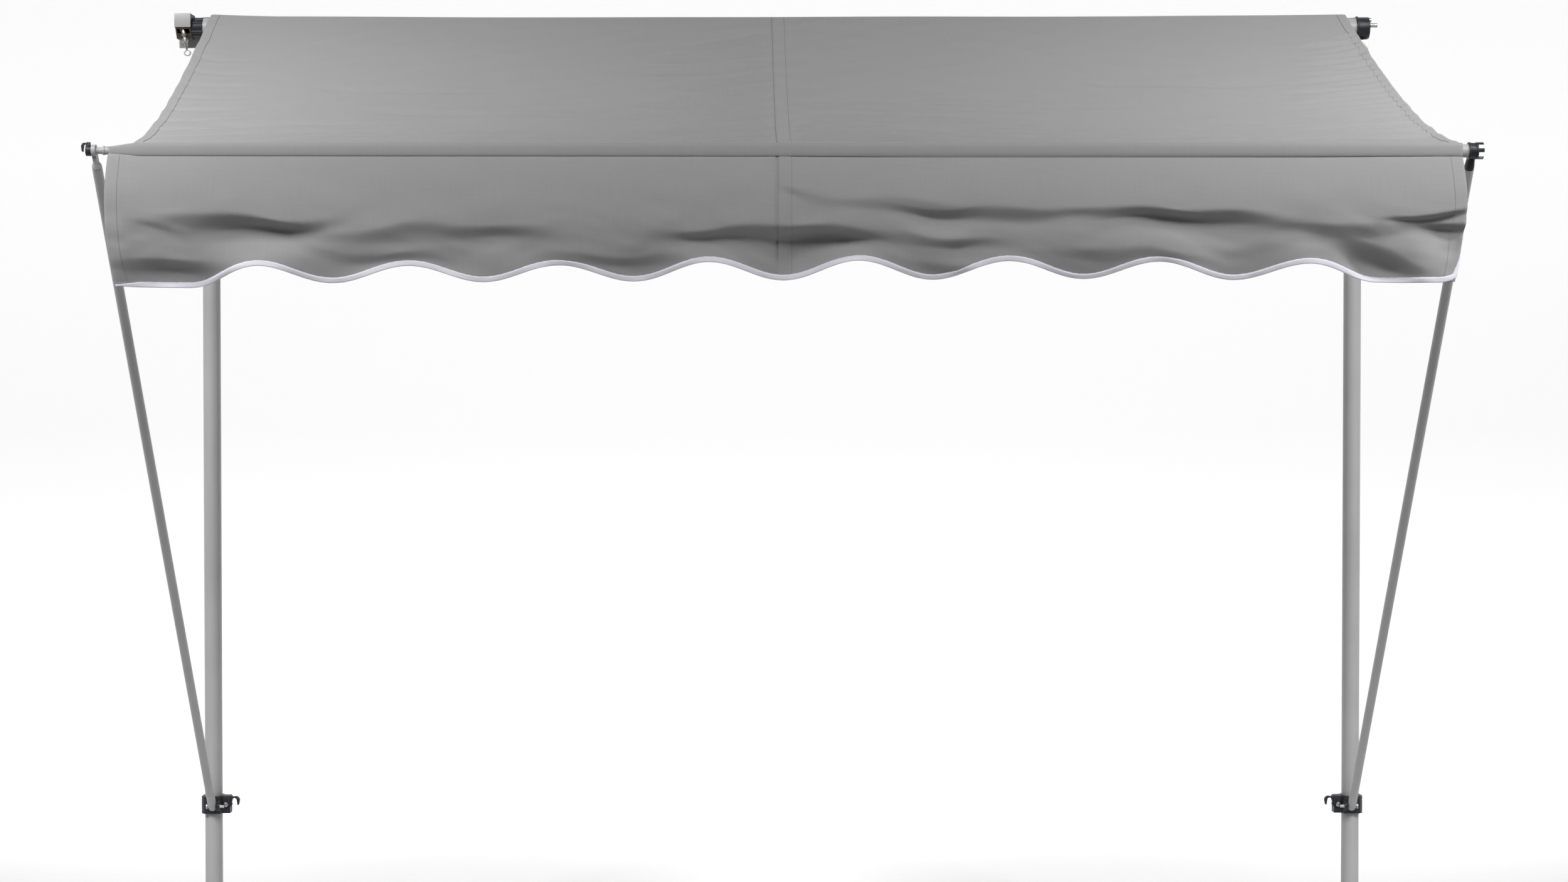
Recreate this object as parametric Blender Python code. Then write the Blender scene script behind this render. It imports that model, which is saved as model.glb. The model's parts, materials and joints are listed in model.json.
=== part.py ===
"""Clamp awning on two telescopic posts: crank roller, canopy, front bar, folding arms and valance.

Metres, +Z up. The origin is on the floor, midway between the posts. The canopy runs out towards -Y.
"""

import math

import bmesh
import bpy
from mathutils import Matrix, Vector

# Driving dimensions, in metres and degrees.
CLOTH_WIDTH = 2.90
CLOTH_THICK = 0.0014
GAP = 0.0004  # what touching pieces keep between them

POST_X = 1.483
POST_RADIUS = 0.0225
POST_WALL = 0.0015
POST_BOTTOM = 0.205
POST_TOP = 2.478
LOWER_RADIUS = 0.0195
LOWER_BOTTOM = 0.1005
LOWER_TOP = 1.05
FOOT_RADIUS = 0.045

ROLLER_Y = -0.09
ROLLER_Z = 2.46
ROLLER_RADIUS = 0.025
ROLLER_WALL = 0.0012
ROLL_RADIUS = 0.031
ROLLER_LEFT = -1.4810
ROLLER_RIGHT = 1.4695
ROLL_LEFT = -1.457
ROLL_RIGHT = 1.4365

BAR_Y = -1.275
BAR_Z = 2.050
BAR_RADIUS = 0.0145
BAR_WALL = 0.0015
BAR_LEFT = -1.4540
BAR_RIGHT = 1.4885
POCKET_RADIUS = 0.0162

ARM_X = 1.478
ARM_RADIUS = 0.011
ARM_WALL = 0.0012
PIVOT_Y = -0.047
PIVOT_Z = 0.453

CANOPY_SAG = 0.058
CANOPY_STEPS = 18

VALANCE_THICK = 0.0016
VALANCE_TROUGH = 1.7678
VALANCE_CREST = 1.8175
SCALLOPS = 9
SCALLOP_STEPS = 8
PIPING_HEIGHT = 0.012
PIPING_THICK = 0.0032

CRANK_X = -1.534
CRANK_Y = -0.1085
CRANK_Z = 2.468
CRANK_TILT = 10.6
WORM_START = -0.0050
WORM_PITCH = 0.0030
WORM_THREADS = 6
WHEEL_TIP = 0.0128
WHEEL_ROOT = 0.0110
WHEEL_TEETH = 11

SMOOTH_ANGLE = math.radians(35)
AXIS_X = Matrix.Rotation(math.pi / 2, 4, "Y")
AXIS_Y = Matrix.Rotation(-math.pi / 2, 4, "X")
# Takes an outline's x and y to Y and Z, and its height to X.
ALONG_X = Matrix(((0, 0, 1, 0), (1, 0, 0, 0), (0, 1, 0, 0), (0, 0, 0, 1)))


def clear_scene():
    for thing in list(bpy.data.objects):
        bpy.data.objects.remove(thing)


def material(name, colour, roughness, metallic=0.0):
    made = bpy.data.materials.new(name)
    made.use_nodes = True
    shader = made.node_tree.nodes["Principled BSDF"]
    shader.inputs["Base Color"].default_value = (*colour, 1.0)
    shader.inputs["Roughness"].default_value = roughness
    shader.inputs["Metallic"].default_value = metallic
    return made


clear_scene()
PAINT = material("grey_paint", (0.36, 0.36, 0.36), 0.45)
PLASTIC = material("black_plastic", (0.015, 0.017, 0.022), 0.4)
RUBBER = material("black_rubber", (0.02, 0.02, 0.02), 0.85)
ZINC = material("bright_zinc", (0.72, 0.72, 0.70), 0.3, 1.0)
DARK_CAST = material("dark_cast_metal", (0.07, 0.06, 0.05), 0.5, 0.6)
CLOTH = material("grey_cloth", (0.31, 0.31, 0.31), 0.9)
PIPING = material("white_tape", (0.83, 0.81, 0.88), 0.8)


# Tools.


def make(name, mesh_data, finish, place, parent=None):
    """One object from a bmesh, its normals facing out, placed by a matrix."""
    bmesh.ops.recalc_face_normals(mesh_data, faces=mesh_data.faces)
    mesh = bpy.data.meshes.new(name)
    mesh_data.to_mesh(mesh)
    mesh_data.free()
    mesh.materials.append(finish)
    mesh.shade_smooth()
    mesh.set_sharp_from_angle(angle=SMOOTH_ANGLE)
    thing = bpy.data.objects.new(name, mesh)
    bpy.context.scene.collection.objects.link(thing)
    if parent:
        thing.parent = parent
        place = parent.matrix_world.inverted() @ place
    thing.matrix_local = place
    return thing


def revolve(profile, sides, tube):
    """A bmesh turned about Z from (radius, height) points; a tube's profile is a closed loop."""
    built = bmesh.new()
    rings = []
    for radius, height in profile:
        ring = []
        for step in range(sides):
            turn = 2 * math.pi * step / sides
            ring.append(built.verts.new((radius * math.cos(turn), radius * math.sin(turn), height)))
        rings.append(ring)
    pairs = list(zip(rings, rings[1:]))
    if tube:
        pairs.append((rings[-1], rings[0]))
    for upper, lower in pairs:
        for step in range(sides):
            after = (step + 1) % sides
            built.faces.new((upper[step], upper[after], lower[after], lower[step]))
    if not tube:
        built.faces.new(rings[0])
        built.faces.new(rings[-1])
    return built


def turned(name, profile, finish, place, parent=None, sides=24, tube=False):
    return make(name, revolve(profile, sides, tube), finish, place, parent)


def rod(radius, low, high):
    return [(radius, low), (radius, high)]


def pipe(outer, inner, low, high):
    return [(outer, low), (outer, high), (inner, high), (inner, low)]


def extrude(outline, low, high):
    """A bmesh prism on an outline in the XY plane, from height low to high."""
    built = bmesh.new()
    bottom = [built.verts.new((x, y, low)) for x, y in outline]
    face = built.faces.new(bottom)
    grown = bmesh.ops.extrude_face_region(built, geom=[face])
    top = [item for item in grown["geom"] if isinstance(item, bmesh.types.BMVert)]
    bmesh.ops.translate(built, verts=top, vec=(0, 0, high - low))
    return built


def prism(name, outline, low, high, finish, place, parent=None):
    return make(name, extrude(outline, low, high), finish, place, parent)


def rectangle(left, right, low, high):
    return [(left, low), (right, low), (right, high), (left, high)]


def helper(name, built, place):
    """A cutter, or a shape to be joined, that isn't a piece itself."""
    shape = make(name, built, PAINT, place)
    shape.hide_render = True
    shape.display_type = "WIRE"
    return shape


def combine(thing, other, operation):
    modifier = thing.modifiers.new(operation.lower(), "BOOLEAN")
    modifier.operation = operation
    modifier.solver = "EXACT"
    modifier.object = other


def cut(thing, built, place):
    combine(thing, helper(f"{thing.name}_cutter_{len(thing.modifiers)}", built, place), "DIFFERENCE")


def join(thing, built, place):
    combine(thing, helper(f"{thing.name}_added_{len(thing.modifiers)}", built, place), "UNION")


def pivot(name, place):
    """An empty that stands on a joint's axis and carries what the joint moves."""
    axis = bpy.data.objects.new(name, None)
    axis.empty_display_size = 0.1
    bpy.context.scene.collection.objects.link(axis)
    axis.matrix_world = place
    bpy.context.view_layer.update()
    return axis


def at(x, y, z):
    return Matrix.Translation((x, y, z))


# Posts.


def build_post(label, side, frame):
    x = side * POST_X
    turned(f"{label}_foot_pad", rod(FOOT_RADIUS, 0.0, 0.008), RUBBER, at(x, 0, 0))
    plate = [(0.042, 0.0084), (0.042, 0.013), (0.018, 0.019), (0.016, 0.030)]
    turned(f"{label}_foot_plate", plate, PLASTIC, at(x, 0, 0))
    turned(f"{label}_foot_spindle", rod(0.008, 0.0304, 0.190), ZINC, at(x, 0, 0), sides=16)
    nut = turned(f"{label}_spindle_nut", rod(0.021, 0.084, 0.100), ZINC, at(x, 0, 0), sides=6)
    cut(nut, revolve(rod(0.0086, 0.08, 0.11), 16, False), at(x, 0, 0))
    turned(
        f"{label}_lower_tube",
        pipe(LOWER_RADIUS, LOWER_RADIUS - POST_WALL, LOWER_BOTTOM, LOWER_TOP),
        PAINT,
        at(x, 0, 0),
        tube=True,
    )
    turned(
        f"{label}_upper_tube",
        pipe(POST_RADIUS, POST_RADIUS - POST_WALL, POST_BOTTOM, POST_TOP),
        PAINT,
        at(x, 0, 0),
        frame,
        sides=32,
        tube=True,
    )
    sleeve = [(0.0275, 0.188), (0.0275, 0.236), (0.0230, 0.240), (0.0230, POST_BOTTOM - GAP)]
    sleeve += [(0.0202, POST_BOTTOM - GAP), (0.0202, 0.188)]
    turned(f"{label}_height_sleeve", sleeve, PLASTIC, at(x, 0, 0), frame, tube=True)
    forward = at(x, -0.0279, 0.216) @ Matrix.Rotation(math.pi / 2, 4, "X")
    stem = [(0.004, 0.0), (0.004, 0.010), (0.010, 0.011), (0.010, 0.016), (0.004, 0.018)]
    knob = turned(f"{label}_height_screw", stem, PLASTIC, forward, frame, sides=16)
    join(knob, extrude(rectangle(-0.019, 0.019, -0.003, 0.003), 0.012, 0.024), forward)
    cap = [(0.0205, 2.445), (0.0205, POST_TOP + GAP), (0.0225, POST_TOP + GAP), (0.0300, 2.4860)]
    cap += [(0.0300, 2.4946)]
    turned(f"{label}_head_pad", cap, RUBBER, at(x, 0, 0), frame)


# Arm clamps.


def arc(centre_x, centre_y, radius, first, last, steps):
    """Points of an arc, with its angles in degrees."""
    points = []
    for step in range(steps + 1):
        turn = math.radians(first + (last - first) * step / steps)
        points.append((centre_x + radius * math.cos(turn), centre_y + radius * math.sin(turn)))
    return points


def hook_outline():
    """A hook that starts at x = 0, rises over a 12 mm gap and comes down again; z runs up."""
    outline = [(-0.006, -0.019), (0.002, -0.019), (0.0045, -0.014), (0.0030, -0.008)]
    outline += arc(0.0105, -0.003, 0.0060, 180, 20, 6)
    outline += [(0.0178, -0.012)]
    outline += arc(0.0195, -0.0135, 0.0022, 230, 340, 3)
    outline += arc(0.0125, -0.004, 0.0115, 10, 95, 5)
    outline += [(0.007, 0.0060), (0.004, 0.0085), (-0.006, 0.0085)]
    return outline


HOOK_X = 0.0450  # where the hook leaves the clamp, measured from the post's axis
CLAMP_HALF_HEIGHT = 0.0225
CLAMP_BORE = POST_RADIUS + GAP


def clamp_half(front):
    """Outline, in the XY plane and inboard towards +X, of one half of a post clamp."""
    sign = -1 if front else 1
    outline = [(-0.0290, sign * 0.0008), (-0.0290, sign * 0.0150), (-0.0200, sign * 0.0290)]
    outline += [(0.0200, sign * 0.0290), (0.0265, sign * 0.0160), (0.0450, sign * 0.0145)]
    outline += [(0.0450, sign * 0.0008)]
    first = 2.0 * sign
    last = 178.0 * sign
    outline += arc(0, 0, CLAMP_BORE, first, last, 14)
    return outline


def build_clamp(label, side, frame):
    place = at(side * POST_X, 0, PIVOT_Z)
    if side > 0:
        place = place @ Matrix.Rotation(math.pi, 4, "Z") @ Matrix.Scale(-1, 4, (0, 1, 0))
    for front in (True, False):
        half = prism(
            f"{label}_clamp_front" if front else f"{label}_clamp_back",
            clamp_half(front),
            -CLAMP_HALF_HEIGHT,
            CLAMP_HALF_HEIGHT,
            PLASTIC,
            place,
            frame,
        )
        bore = place @ at(0.0345, 0, 0) @ AXIS_Y
        cut(half, revolve(rod(0.0034, -0.04, 0.04), 12, False), bore)
        if front:
            upright = place @ at(HOOK_X, -0.0010, 0.0135) @ Matrix.Rotation(math.pi / 2, 4, "X")
            join(half, extrude(hook_outline(), 0.0, 0.0110), upright)
            lug = [(-0.0270, -0.0140)] + arc(-0.047, 0, 0.0120, 270, 90, 8) + [(-0.0270, 0.0140)]
            join(half, extrude(lug, 0.0166, 0.0246), place @ ALONG_X)
            cut(half, revolve(rod(0.0042, -0.05, 0.05), 12, False), place @ at(0, PIVOT_Y, 0) @ AXIS_X)
    turned(
        f"{label}_clamp_screw",
        [(0.0060, -0.0205), (0.0060, -0.0165), (0.0030, -0.0165), (0.0030, 0.0170)],
        ZINC,
        place @ at(0.0345, 0, 0) @ AXIS_Y,
        frame,
        sides=12,
    )


# Arms.


def arm_direction():
    return Vector((0, BAR_Y - PIVOT_Y, BAR_Z - PIVOT_Z))


ARM_LENGTH = arm_direction().length
ARM_LEAN = math.atan2(PIVOT_Y - BAR_Y, BAR_Z - PIVOT_Z)
TUBE_START = 0.046
TUBE_END = ARM_LENGTH - 0.046
# The (radius, height) points of the stub that goes into an arm tube's top end.
SPIGOT = [(0.0106, -0.0380), (0.0106, -0.0456), (0.0094, -0.0456), (0.0094, -0.0750)]


def build_arm(label, side, arms):
    along = at(side * ARM_X, PIVOT_Y, PIVOT_Z) @ Matrix.Rotation(ARM_LEAN, 4, "X")
    turned(
        f"{label}_arm_tube",
        pipe(ARM_RADIUS, ARM_RADIUS - ARM_WALL, TUBE_START, TUBE_END),
        PAINT,
        along,
        arms,
        sides=20,
        tube=True,
    )
    tip = [(0.0010, -0.0128), (0.0055, -0.0118), (0.0090, -0.0080), (0.0106, -0.0030)]
    tip += [(ARM_RADIUS, 0.0030), (ARM_RADIUS, TUBE_START - GAP)]
    tip += [(0.0094, TUBE_START - GAP), (0.0094, TUBE_START + 0.03)]
    foot = turned(f"{label}_arm_foot", tip, PAINT, along, arms, sides=20)
    cut(foot, revolve(rod(0.0042, -0.03, 0.03), 12, False), at(side * ARM_X, PIVOT_Y, PIVOT_Z) @ AXIS_X)
    spin = at(side * ARM_X, PIVOT_Y, PIVOT_Z) @ Matrix.Rotation(side * math.pi / 2, 4, "Y")
    turned(
        f"{label}_pivot_bolt",
        [(0.0068, 0.0158), (0.0068, 0.0114), (0.0038, 0.0114), (0.0038, -0.0300)],
        ZINC,
        spin,
        arms,
        sides=12,
    )


def build_left_fork(arms):
    """The eye at the left arm's top, round the bar's pin, on a spigot inside the tube."""
    eye = at(-ARM_X, BAR_Y, BAR_Z) @ AXIS_X
    ring = pipe(0.0130, 0.0080, -0.0045, 0.0045)
    fork = turned("left_arm_eye", ring, PAINT, eye, arms, sides=20, tube=True)
    along = at(-ARM_X, BAR_Y, BAR_Z) @ Matrix.Rotation(ARM_LEAN, 4, "X")
    neck = extrude(rectangle(-0.0045, 0.0045, -0.0085, 0.0085), -0.0400, -0.0100)
    join(fork, neck, along)
    join(fork, revolve([(0.0085, -0.0340)] + SPIGOT, 20, False), along)


def build_right_head(arms):
    """The plastic ring at the right arm's top, round the bar, with three prongs outboard."""
    ring_place = at(ARM_X, BAR_Y, BAR_Z) @ AXIS_X
    ring_profile = [(0.0185, -0.0090), (0.0185, -0.0050), (0.0172, -0.0040), (0.0172, 0.0060)]
    ring_profile += [(0.0182, 0.0070), (0.0182, 0.0108), (0.0150, 0.0108), (0.0150, -0.0090)]
    head = turned("right_arm_head", ring_profile, PLASTIC, ring_place, arms, sides=24, tube=True)
    for lift in (-68, 0, 68):
        prong = extrude(rectangle(0.0152, 0.0180, -0.0042, 0.0042), 0.0070, 0.0225)
        join(head, prong, ring_place @ Matrix.Rotation(math.radians(-90 + lift), 4, "Z"))
    along = at(ARM_X, BAR_Y, BAR_Z) @ Matrix.Rotation(ARM_LEAN, 4, "X")
    join(head, revolve([(0.0085, -0.0165)] + SPIGOT, 20, False), along)


# Front bar and valance.


def build_bar(bar):
    axis = at(0, BAR_Y, BAR_Z) @ AXIS_X
    turned(
        "front_bar_tube",
        pipe(BAR_RADIUS, BAR_RADIUS - BAR_WALL, BAR_LEFT, BAR_RIGHT),
        PAINT,
        axis,
        bar,
        tube=True,
    )
    inner = BAR_RADIUS - BAR_WALL - GAP
    stub = [(0.0075, -1.4950), (0.0075, -1.4590), (0.0098, -1.4580), (0.0098, BAR_LEFT - GAP)]
    stub += [(inner, BAR_LEFT - GAP), (inner, -1.400)]
    turned("left_bar_pin", stub, PAINT, axis, bar, sides=20)
    turned("right_bar_plug", rod(inner, 1.440, 1.4880), PLASTIC, axis, bar, sides=20)
    ring = pipe(0.0120, 0.0079, -1.4945, -1.4830)
    hook = turned("left_bar_hook", ring, PLASTIC, axis, bar, sides=20, tube=True)
    outward = at(-1.4900, BAR_Y + 0.0055, BAR_Z + 0.0105) @ Matrix.Scale(-1, 4, (1, 0, 0))
    outward = outward @ Matrix.Rotation(math.pi / 2, 4, "X")
    slim = [(x * 0.62, y * 0.85) for x, y in hook_outline()]
    join(hook, extrude(slim, 0.0, 0.0110), outward)
    cut(hook, revolve(rod(0.0079, -1.4945 - 0.0015, -1.4800), 20, False), axis)
    turned(
        "right_bar_screw",
        [(0.0045, 0.0030), (0.0045, 0.0), (0.0022, 0.0), (0.0022, -0.0004)],
        ZINC,
        at(1.4884, BAR_Y, BAR_Z) @ AXIS_X,
        bar,
        sides=12,
    )


def scallop_height(x):
    """Height of the valance's lower edge at x: nine waves, the two end ones running out flat."""
    pitch = CLOTH_WIDTH / SCALLOPS
    if abs(x) > CLOTH_WIDTH / 2 - pitch / 2:
        return VALANCE_TROUGH
    middle = (VALANCE_CREST + VALANCE_TROUGH) / 2
    swing = (VALANCE_CREST - VALANCE_TROUGH) / 2
    return middle + swing * math.cos(2 * math.pi * (x + CLOTH_WIDTH / 2) / pitch)


def scallop_edge(lower):
    count = SCALLOPS * SCALLOP_STEPS
    points = []
    for step in range(count + 1):
        x = -CLOTH_WIDTH / 2 + CLOTH_WIDTH * step / count
        points.append((x, scallop_height(x) - lower))
    return points


def build_valance(bar):
    upright = at(0, BAR_Y, 0) @ Matrix.Rotation(math.pi / 2, 4, "X")
    axis = at(0, BAR_Y, BAR_Z) @ AXIS_X
    half = CLOTH_WIDTH / 2
    valance = turned(
        "valance",
        pipe(POCKET_RADIUS, BAR_RADIUS + GAP, -half, half),
        CLOTH,
        axis,
        bar,
        tube=True,
    )
    top = BAR_Z - POCKET_RADIUS + 0.0006
    outline = scallop_edge(0.0) + [(half, top), (-half, top)]
    join(valance, extrude(outline, -VALANCE_THICK / 2, VALANCE_THICK / 2), upright)
    edge = scallop_edge(GAP) + scallop_edge(PIPING_HEIGHT)[::-1]
    prism("valance_piping", edge, -PIPING_THICK / 2, PIPING_THICK / 2, PIPING, upright, bar)


# Canopy.


def canopy_profile():
    """(y, z) points of the canopy's middle surface from the roll to the top of the bar."""
    start = Vector((ROLLER_Y - 0.0145, ROLLER_Z + 0.0295))
    end = Vector((BAR_Y + 0.0030, BAR_Z + POCKET_RADIUS + GAP + CLOTH_THICK / 2))
    points = []
    for step in range(CANOPY_STEPS + 1):
        t = step / CANOPY_STEPS
        y, z = start.lerp(end, t)
        points.append((y, z - CANOPY_SAG * 4 * t * (1 - t) * (0.6 + 0.8 * t)))
    return points


def build_canopy(frame):
    line = canopy_profile()
    upper = [(y, z + CLOTH_THICK / 2) for y, z in line]
    under = [(y, z - CLOTH_THICK / 2) for y, z in line]
    prism("canopy_sheet", upper + under[::-1], -CLOTH_WIDTH / 2, CLOTH_WIDTH / 2, CLOTH, ALONG_X, frame)


# Roller and its gear.


def toothed(tip, root, count):
    """A ring outline with square-topped teeth."""
    points = []
    for step in range(4 * count):
        radius = tip if step % 4 in (0, 1) else root
        turn = 2 * math.pi * step / (4 * count)
        points.append((radius * math.cos(turn), radius * math.sin(turn)))
    return points


def build_roller(roller):
    axis = at(0, ROLLER_Y, ROLLER_Z) @ AXIS_X
    turned(
        "roller_tube",
        pipe(ROLLER_RADIUS, ROLLER_RADIUS - ROLLER_WALL, ROLLER_LEFT, ROLLER_RIGHT),
        PAINT,
        axis,
        roller,
        sides=28,
        tube=True,
    )
    turned(
        "cloth_roll",
        pipe(ROLL_RADIUS, ROLLER_RADIUS + GAP, ROLL_LEFT, ROLL_RIGHT),
        CLOTH,
        axis,
        roller,
        sides=28,
        tube=True,
    )
    inner = ROLLER_RADIUS - ROLLER_WALL - GAP
    ribs = toothed(0.0256, 0.0234, 12)
    cap = prism("left_roller_cap", ribs, -1.5095, ROLLER_LEFT - GAP, PLASTIC, axis, roller)
    core = [(0.0070, -1.5435), (0.0070, -1.5090), (inner, -1.5080), (inner, -1.4300)]
    join(cap, revolve(core, 24, False), axis)
    plug = [(inner, 1.4200), (inner, ROLLER_RIGHT), (0.0070, ROLLER_RIGHT), (0.0070, 1.4960)]
    turned("right_roller_plug", plug, PLASTIC, axis, roller)
    teeth = toothed(WHEEL_TIP, WHEEL_ROOT, WHEEL_TEETH)
    wheel = prism("gear_wheel", teeth, -1.5430, -1.5330, ZINC, axis, roller)
    cut(wheel, revolve(rod(0.0074, -1.5500, -1.5200), 24, False), axis)


GEAR_LEFT = -1.5517
GEAR_RIGHT = -1.5102
GEAR_FRONT = -0.1200
GEAR_BACK = -0.0615
GEAR_TOP = 2.4936
COVER_BOTTOM = 2.4584
GEAR_BOTTOM = 2.4312
COVER_WALL = 0.0015


def build_gearbox(frame):
    cover = prism(
        "gearbox_cover",
        rectangle(GEAR_FRONT, GEAR_BACK, COVER_BOTTOM, GEAR_TOP),
        GEAR_LEFT,
        GEAR_RIGHT,
        PAINT,
        ALONG_X,
        frame,
    )
    inner_front = GEAR_FRONT + COVER_WALL
    inner_back = GEAR_BACK - COVER_WALL
    hollow = rectangle(inner_front, inner_back, COVER_BOTTOM - 0.01, GEAR_TOP - COVER_WALL)
    cut(cover, extrude(hollow, GEAR_LEFT + COVER_WALL, GEAR_RIGHT + 0.01), ALONG_X)
    front = inner_front + GAP
    back = inner_back - GAP
    shape = [(front, COVER_BOTTOM), (-0.0980, GEAR_BOTTOM), (-0.0720, GEAR_BOTTOM), (back, 2.4450)]
    shape += [(back, GEAR_TOP - COVER_WALL - GAP), (front, GEAR_TOP - COVER_WALL - GAP)]
    body = prism(
        "gearbox_body",
        shape,
        GEAR_LEFT + COVER_WALL + GAP,
        GEAR_RIGHT,
        DARK_CAST,
        ALONG_X,
        frame,
    )
    chamber = rectangle(-0.1150, -0.0740, 2.4440, 2.4820)
    cut(body, extrude(chamber, -1.5462, -1.5150), ALONG_X)
    cut(body, revolve(rod(0.0080, -1.5200, -1.5000), 24, False), at(0, ROLLER_Y, ROLLER_Z) @ AXIS_X)
    cut(body, revolve(rod(0.0068, 0.0, 0.06), 16, False), crank_axis())


def crank_axis():
    """Local Z runs down the crank's shaft, from inside the gearbox to the eye."""
    return at(CRANK_X, CRANK_Y, CRANK_Z) @ Matrix.Rotation(math.pi - math.radians(CRANK_TILT), 4, "Y")


def build_crank(crank):
    place = crank_axis()
    worm = [(0.0036, -0.0080), (0.0036, WORM_START)]
    for turn in range(WORM_THREADS):
        start = WORM_START + WORM_PITCH * turn
        worm += [(0.0044, start + 0.0006), (0.0044, start + 0.0016), (0.0036, start + 0.0024)]
    worm += [(0.0036, 0.0190), (0.0062, 0.0195), (0.0062, 0.0300), (0.0036, 0.0310), (0.0036, 0.0350)]
    turned("crank_shaft", worm, ZINC, place, crank, sides=16)
    eye = turned(
        "crank_eye",
        [(0.0055, 0.0354), (0.0070, 0.0370), (0.0070, 0.0470), (0.0045, 0.0500), (0.0032, 0.0670)],
        ZINC,
        place,
        crank,
        sides=16,
    )
    cut(eye, extrude(rectangle(-0.01, 0.01, -0.0018, 0.0018), 0.0390, 0.0450), place)
    join(eye, revolve(pipe(0.0092, 0.0050, -0.0021, 0.0021), 20, True), place @ at(0, 0, 0.0745) @ AXIS_Y)


# Head brackets.


def saddle_outline():
    """Outline, in the XY plane, of the block that grips a post's head and carries a bracket plate."""
    outline = [(-0.0240, -0.0551), (0.0240, -0.0551), (0.0240, -0.0350), (0.0290, -0.0200)]
    outline += arc(0, 0, 0.0290, 0, 180, 12)
    outline += [(-0.0290, -0.0200), (-0.0240, -0.0350)]
    return outline


def build_head_bracket(label, side, plate_low, plate_high, frame):
    place = at(side * POST_X, 0, 0)
    saddle = prism(f"{label}_head_saddle", saddle_outline(), 2.4120, 2.4440, PAINT, place, frame)
    cut(saddle, revolve(rod(POST_RADIUS + GAP, 2.40, 2.46), 32, False), place)
    cut(saddle, extrude(rectangle(-0.0015, 0.0015, 0.0, 0.04), 2.40, 2.46), place)
    plate = prism(
        f"{label}_head_plate",
        rectangle(plate_low, plate_high, 2.4120, 2.4860),
        0.0555,
        0.0590,
        PAINT,
        Matrix.Rotation(math.pi / 2, 4, "X"),
        frame,
    )
    hole = at(side * POST_X, 0, 2.4215) @ Matrix.Rotation(math.pi / 2, 4, "X")
    cut(plate, revolve(rod(0.0034, 0.05, 0.065), 12, False), hole)
    cut(saddle, revolve(rod(0.0034, 0.040, 0.060), 12, False), hole)
    turned(
        f"{label}_head_bolt",
        [(0.0030, 0.0420), (0.0030, 0.0594), (0.0062, 0.0594), (0.0062, 0.0634)],
        ZINC,
        hole,
        frame,
        sides=12,
    )


def build_right_bearing(frame):
    axis = at(0, ROLLER_Y, ROLLER_Z) @ AXIS_X
    drum_profile = [(0.0305, 1.4705), (0.0305, 1.4735), (0.0280, 1.4745), (0.0280, 1.5015)]
    drum_profile += [(0.0272, 1.5027), (0.0075, 1.5027), (0.0075, 1.4705)]
    drum = turned("roller_bearing", drum_profile, PLASTIC, axis, frame, sides=28, tube=True)
    foot = rectangle(-0.0640, -0.0594, 2.4480, 2.4720)
    join(drum, extrude(foot, 1.4760, 1.5000), ALONG_X)
    bolts = ((-0.0980, 2.4795, 0.0050), (-0.1060, 2.4650, 0.0188))
    for number, (depth, height, reach) in enumerate(bolts, 1):
        hole = at(0, depth, height) @ AXIS_X
        cut(drum, revolve(rod(0.0034, 1.4850, 1.5100), 12, False), hole)
        turned(
            f"bearing_bolt_{number}",
            [(0.0030, 1.4856), (0.0030, 1.5031), (0.0058, 1.5031), (0.0058, 1.5031 + reach)],
            ZINC,
            hole,
            frame,
            sides=12,
        )
    shape = [(-0.0594, 2.4310), (-0.1040, 2.4285), (-0.1040, 2.3937), (-0.1020, 2.3937), (-0.1020, 2.4262)]
    shape += [(-0.0594, 2.4285)]
    angle = prism("bearing_angle", shape, 1.4775, 1.4997, ZINC, ALONG_X, frame)
    wedge = [(1.4700, 2.4250), (1.4770, 2.4250), (1.4905, 2.3900), (1.4700, 2.3900)]
    cut(angle, extrude(wedge, 0.05, 0.12), Matrix.Rotation(math.pi / 2, 4, "X"))


# Assembly.


def build_awning():
    frame = pivot("frame_slide", at(0, 0, POST_BOTTOM))
    arms = pivot("arm_pivot", at(0, PIVOT_Y, PIVOT_Z))
    bar = pivot("bar_pivot", at(0, BAR_Y, BAR_Z))
    roller = pivot("roller_axis", at(0, ROLLER_Y, ROLLER_Z))
    crank = pivot("crank_axis", crank_axis())
    for label, side in (("left", -1), ("right", 1)):
        build_post(label, side, frame)
        build_clamp(label, side, frame)
        build_arm(label, side, arms)
    build_left_fork(arms)
    build_right_head(arms)
    build_bar(bar)
    build_valance(bar)
    build_canopy(frame)
    build_roller(roller)
    build_gearbox(frame)
    build_crank(crank)
    build_head_bracket("left", -1, -1.5517, -1.4600, frame)
    build_head_bracket("right", 1, 1.4600, 1.5060, frame)
    build_right_bearing(frame)


build_awning()
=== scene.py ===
"""Looks of the clamp awning: cloth, tape, paint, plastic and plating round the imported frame."""

import json
import logging
import math
from dataclasses import dataclass, field
from enum import Enum
from typing import Optional, Sequence

import bmesh
import bpy
import numpy as np
from mathutils import Matrix, Vector


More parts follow.
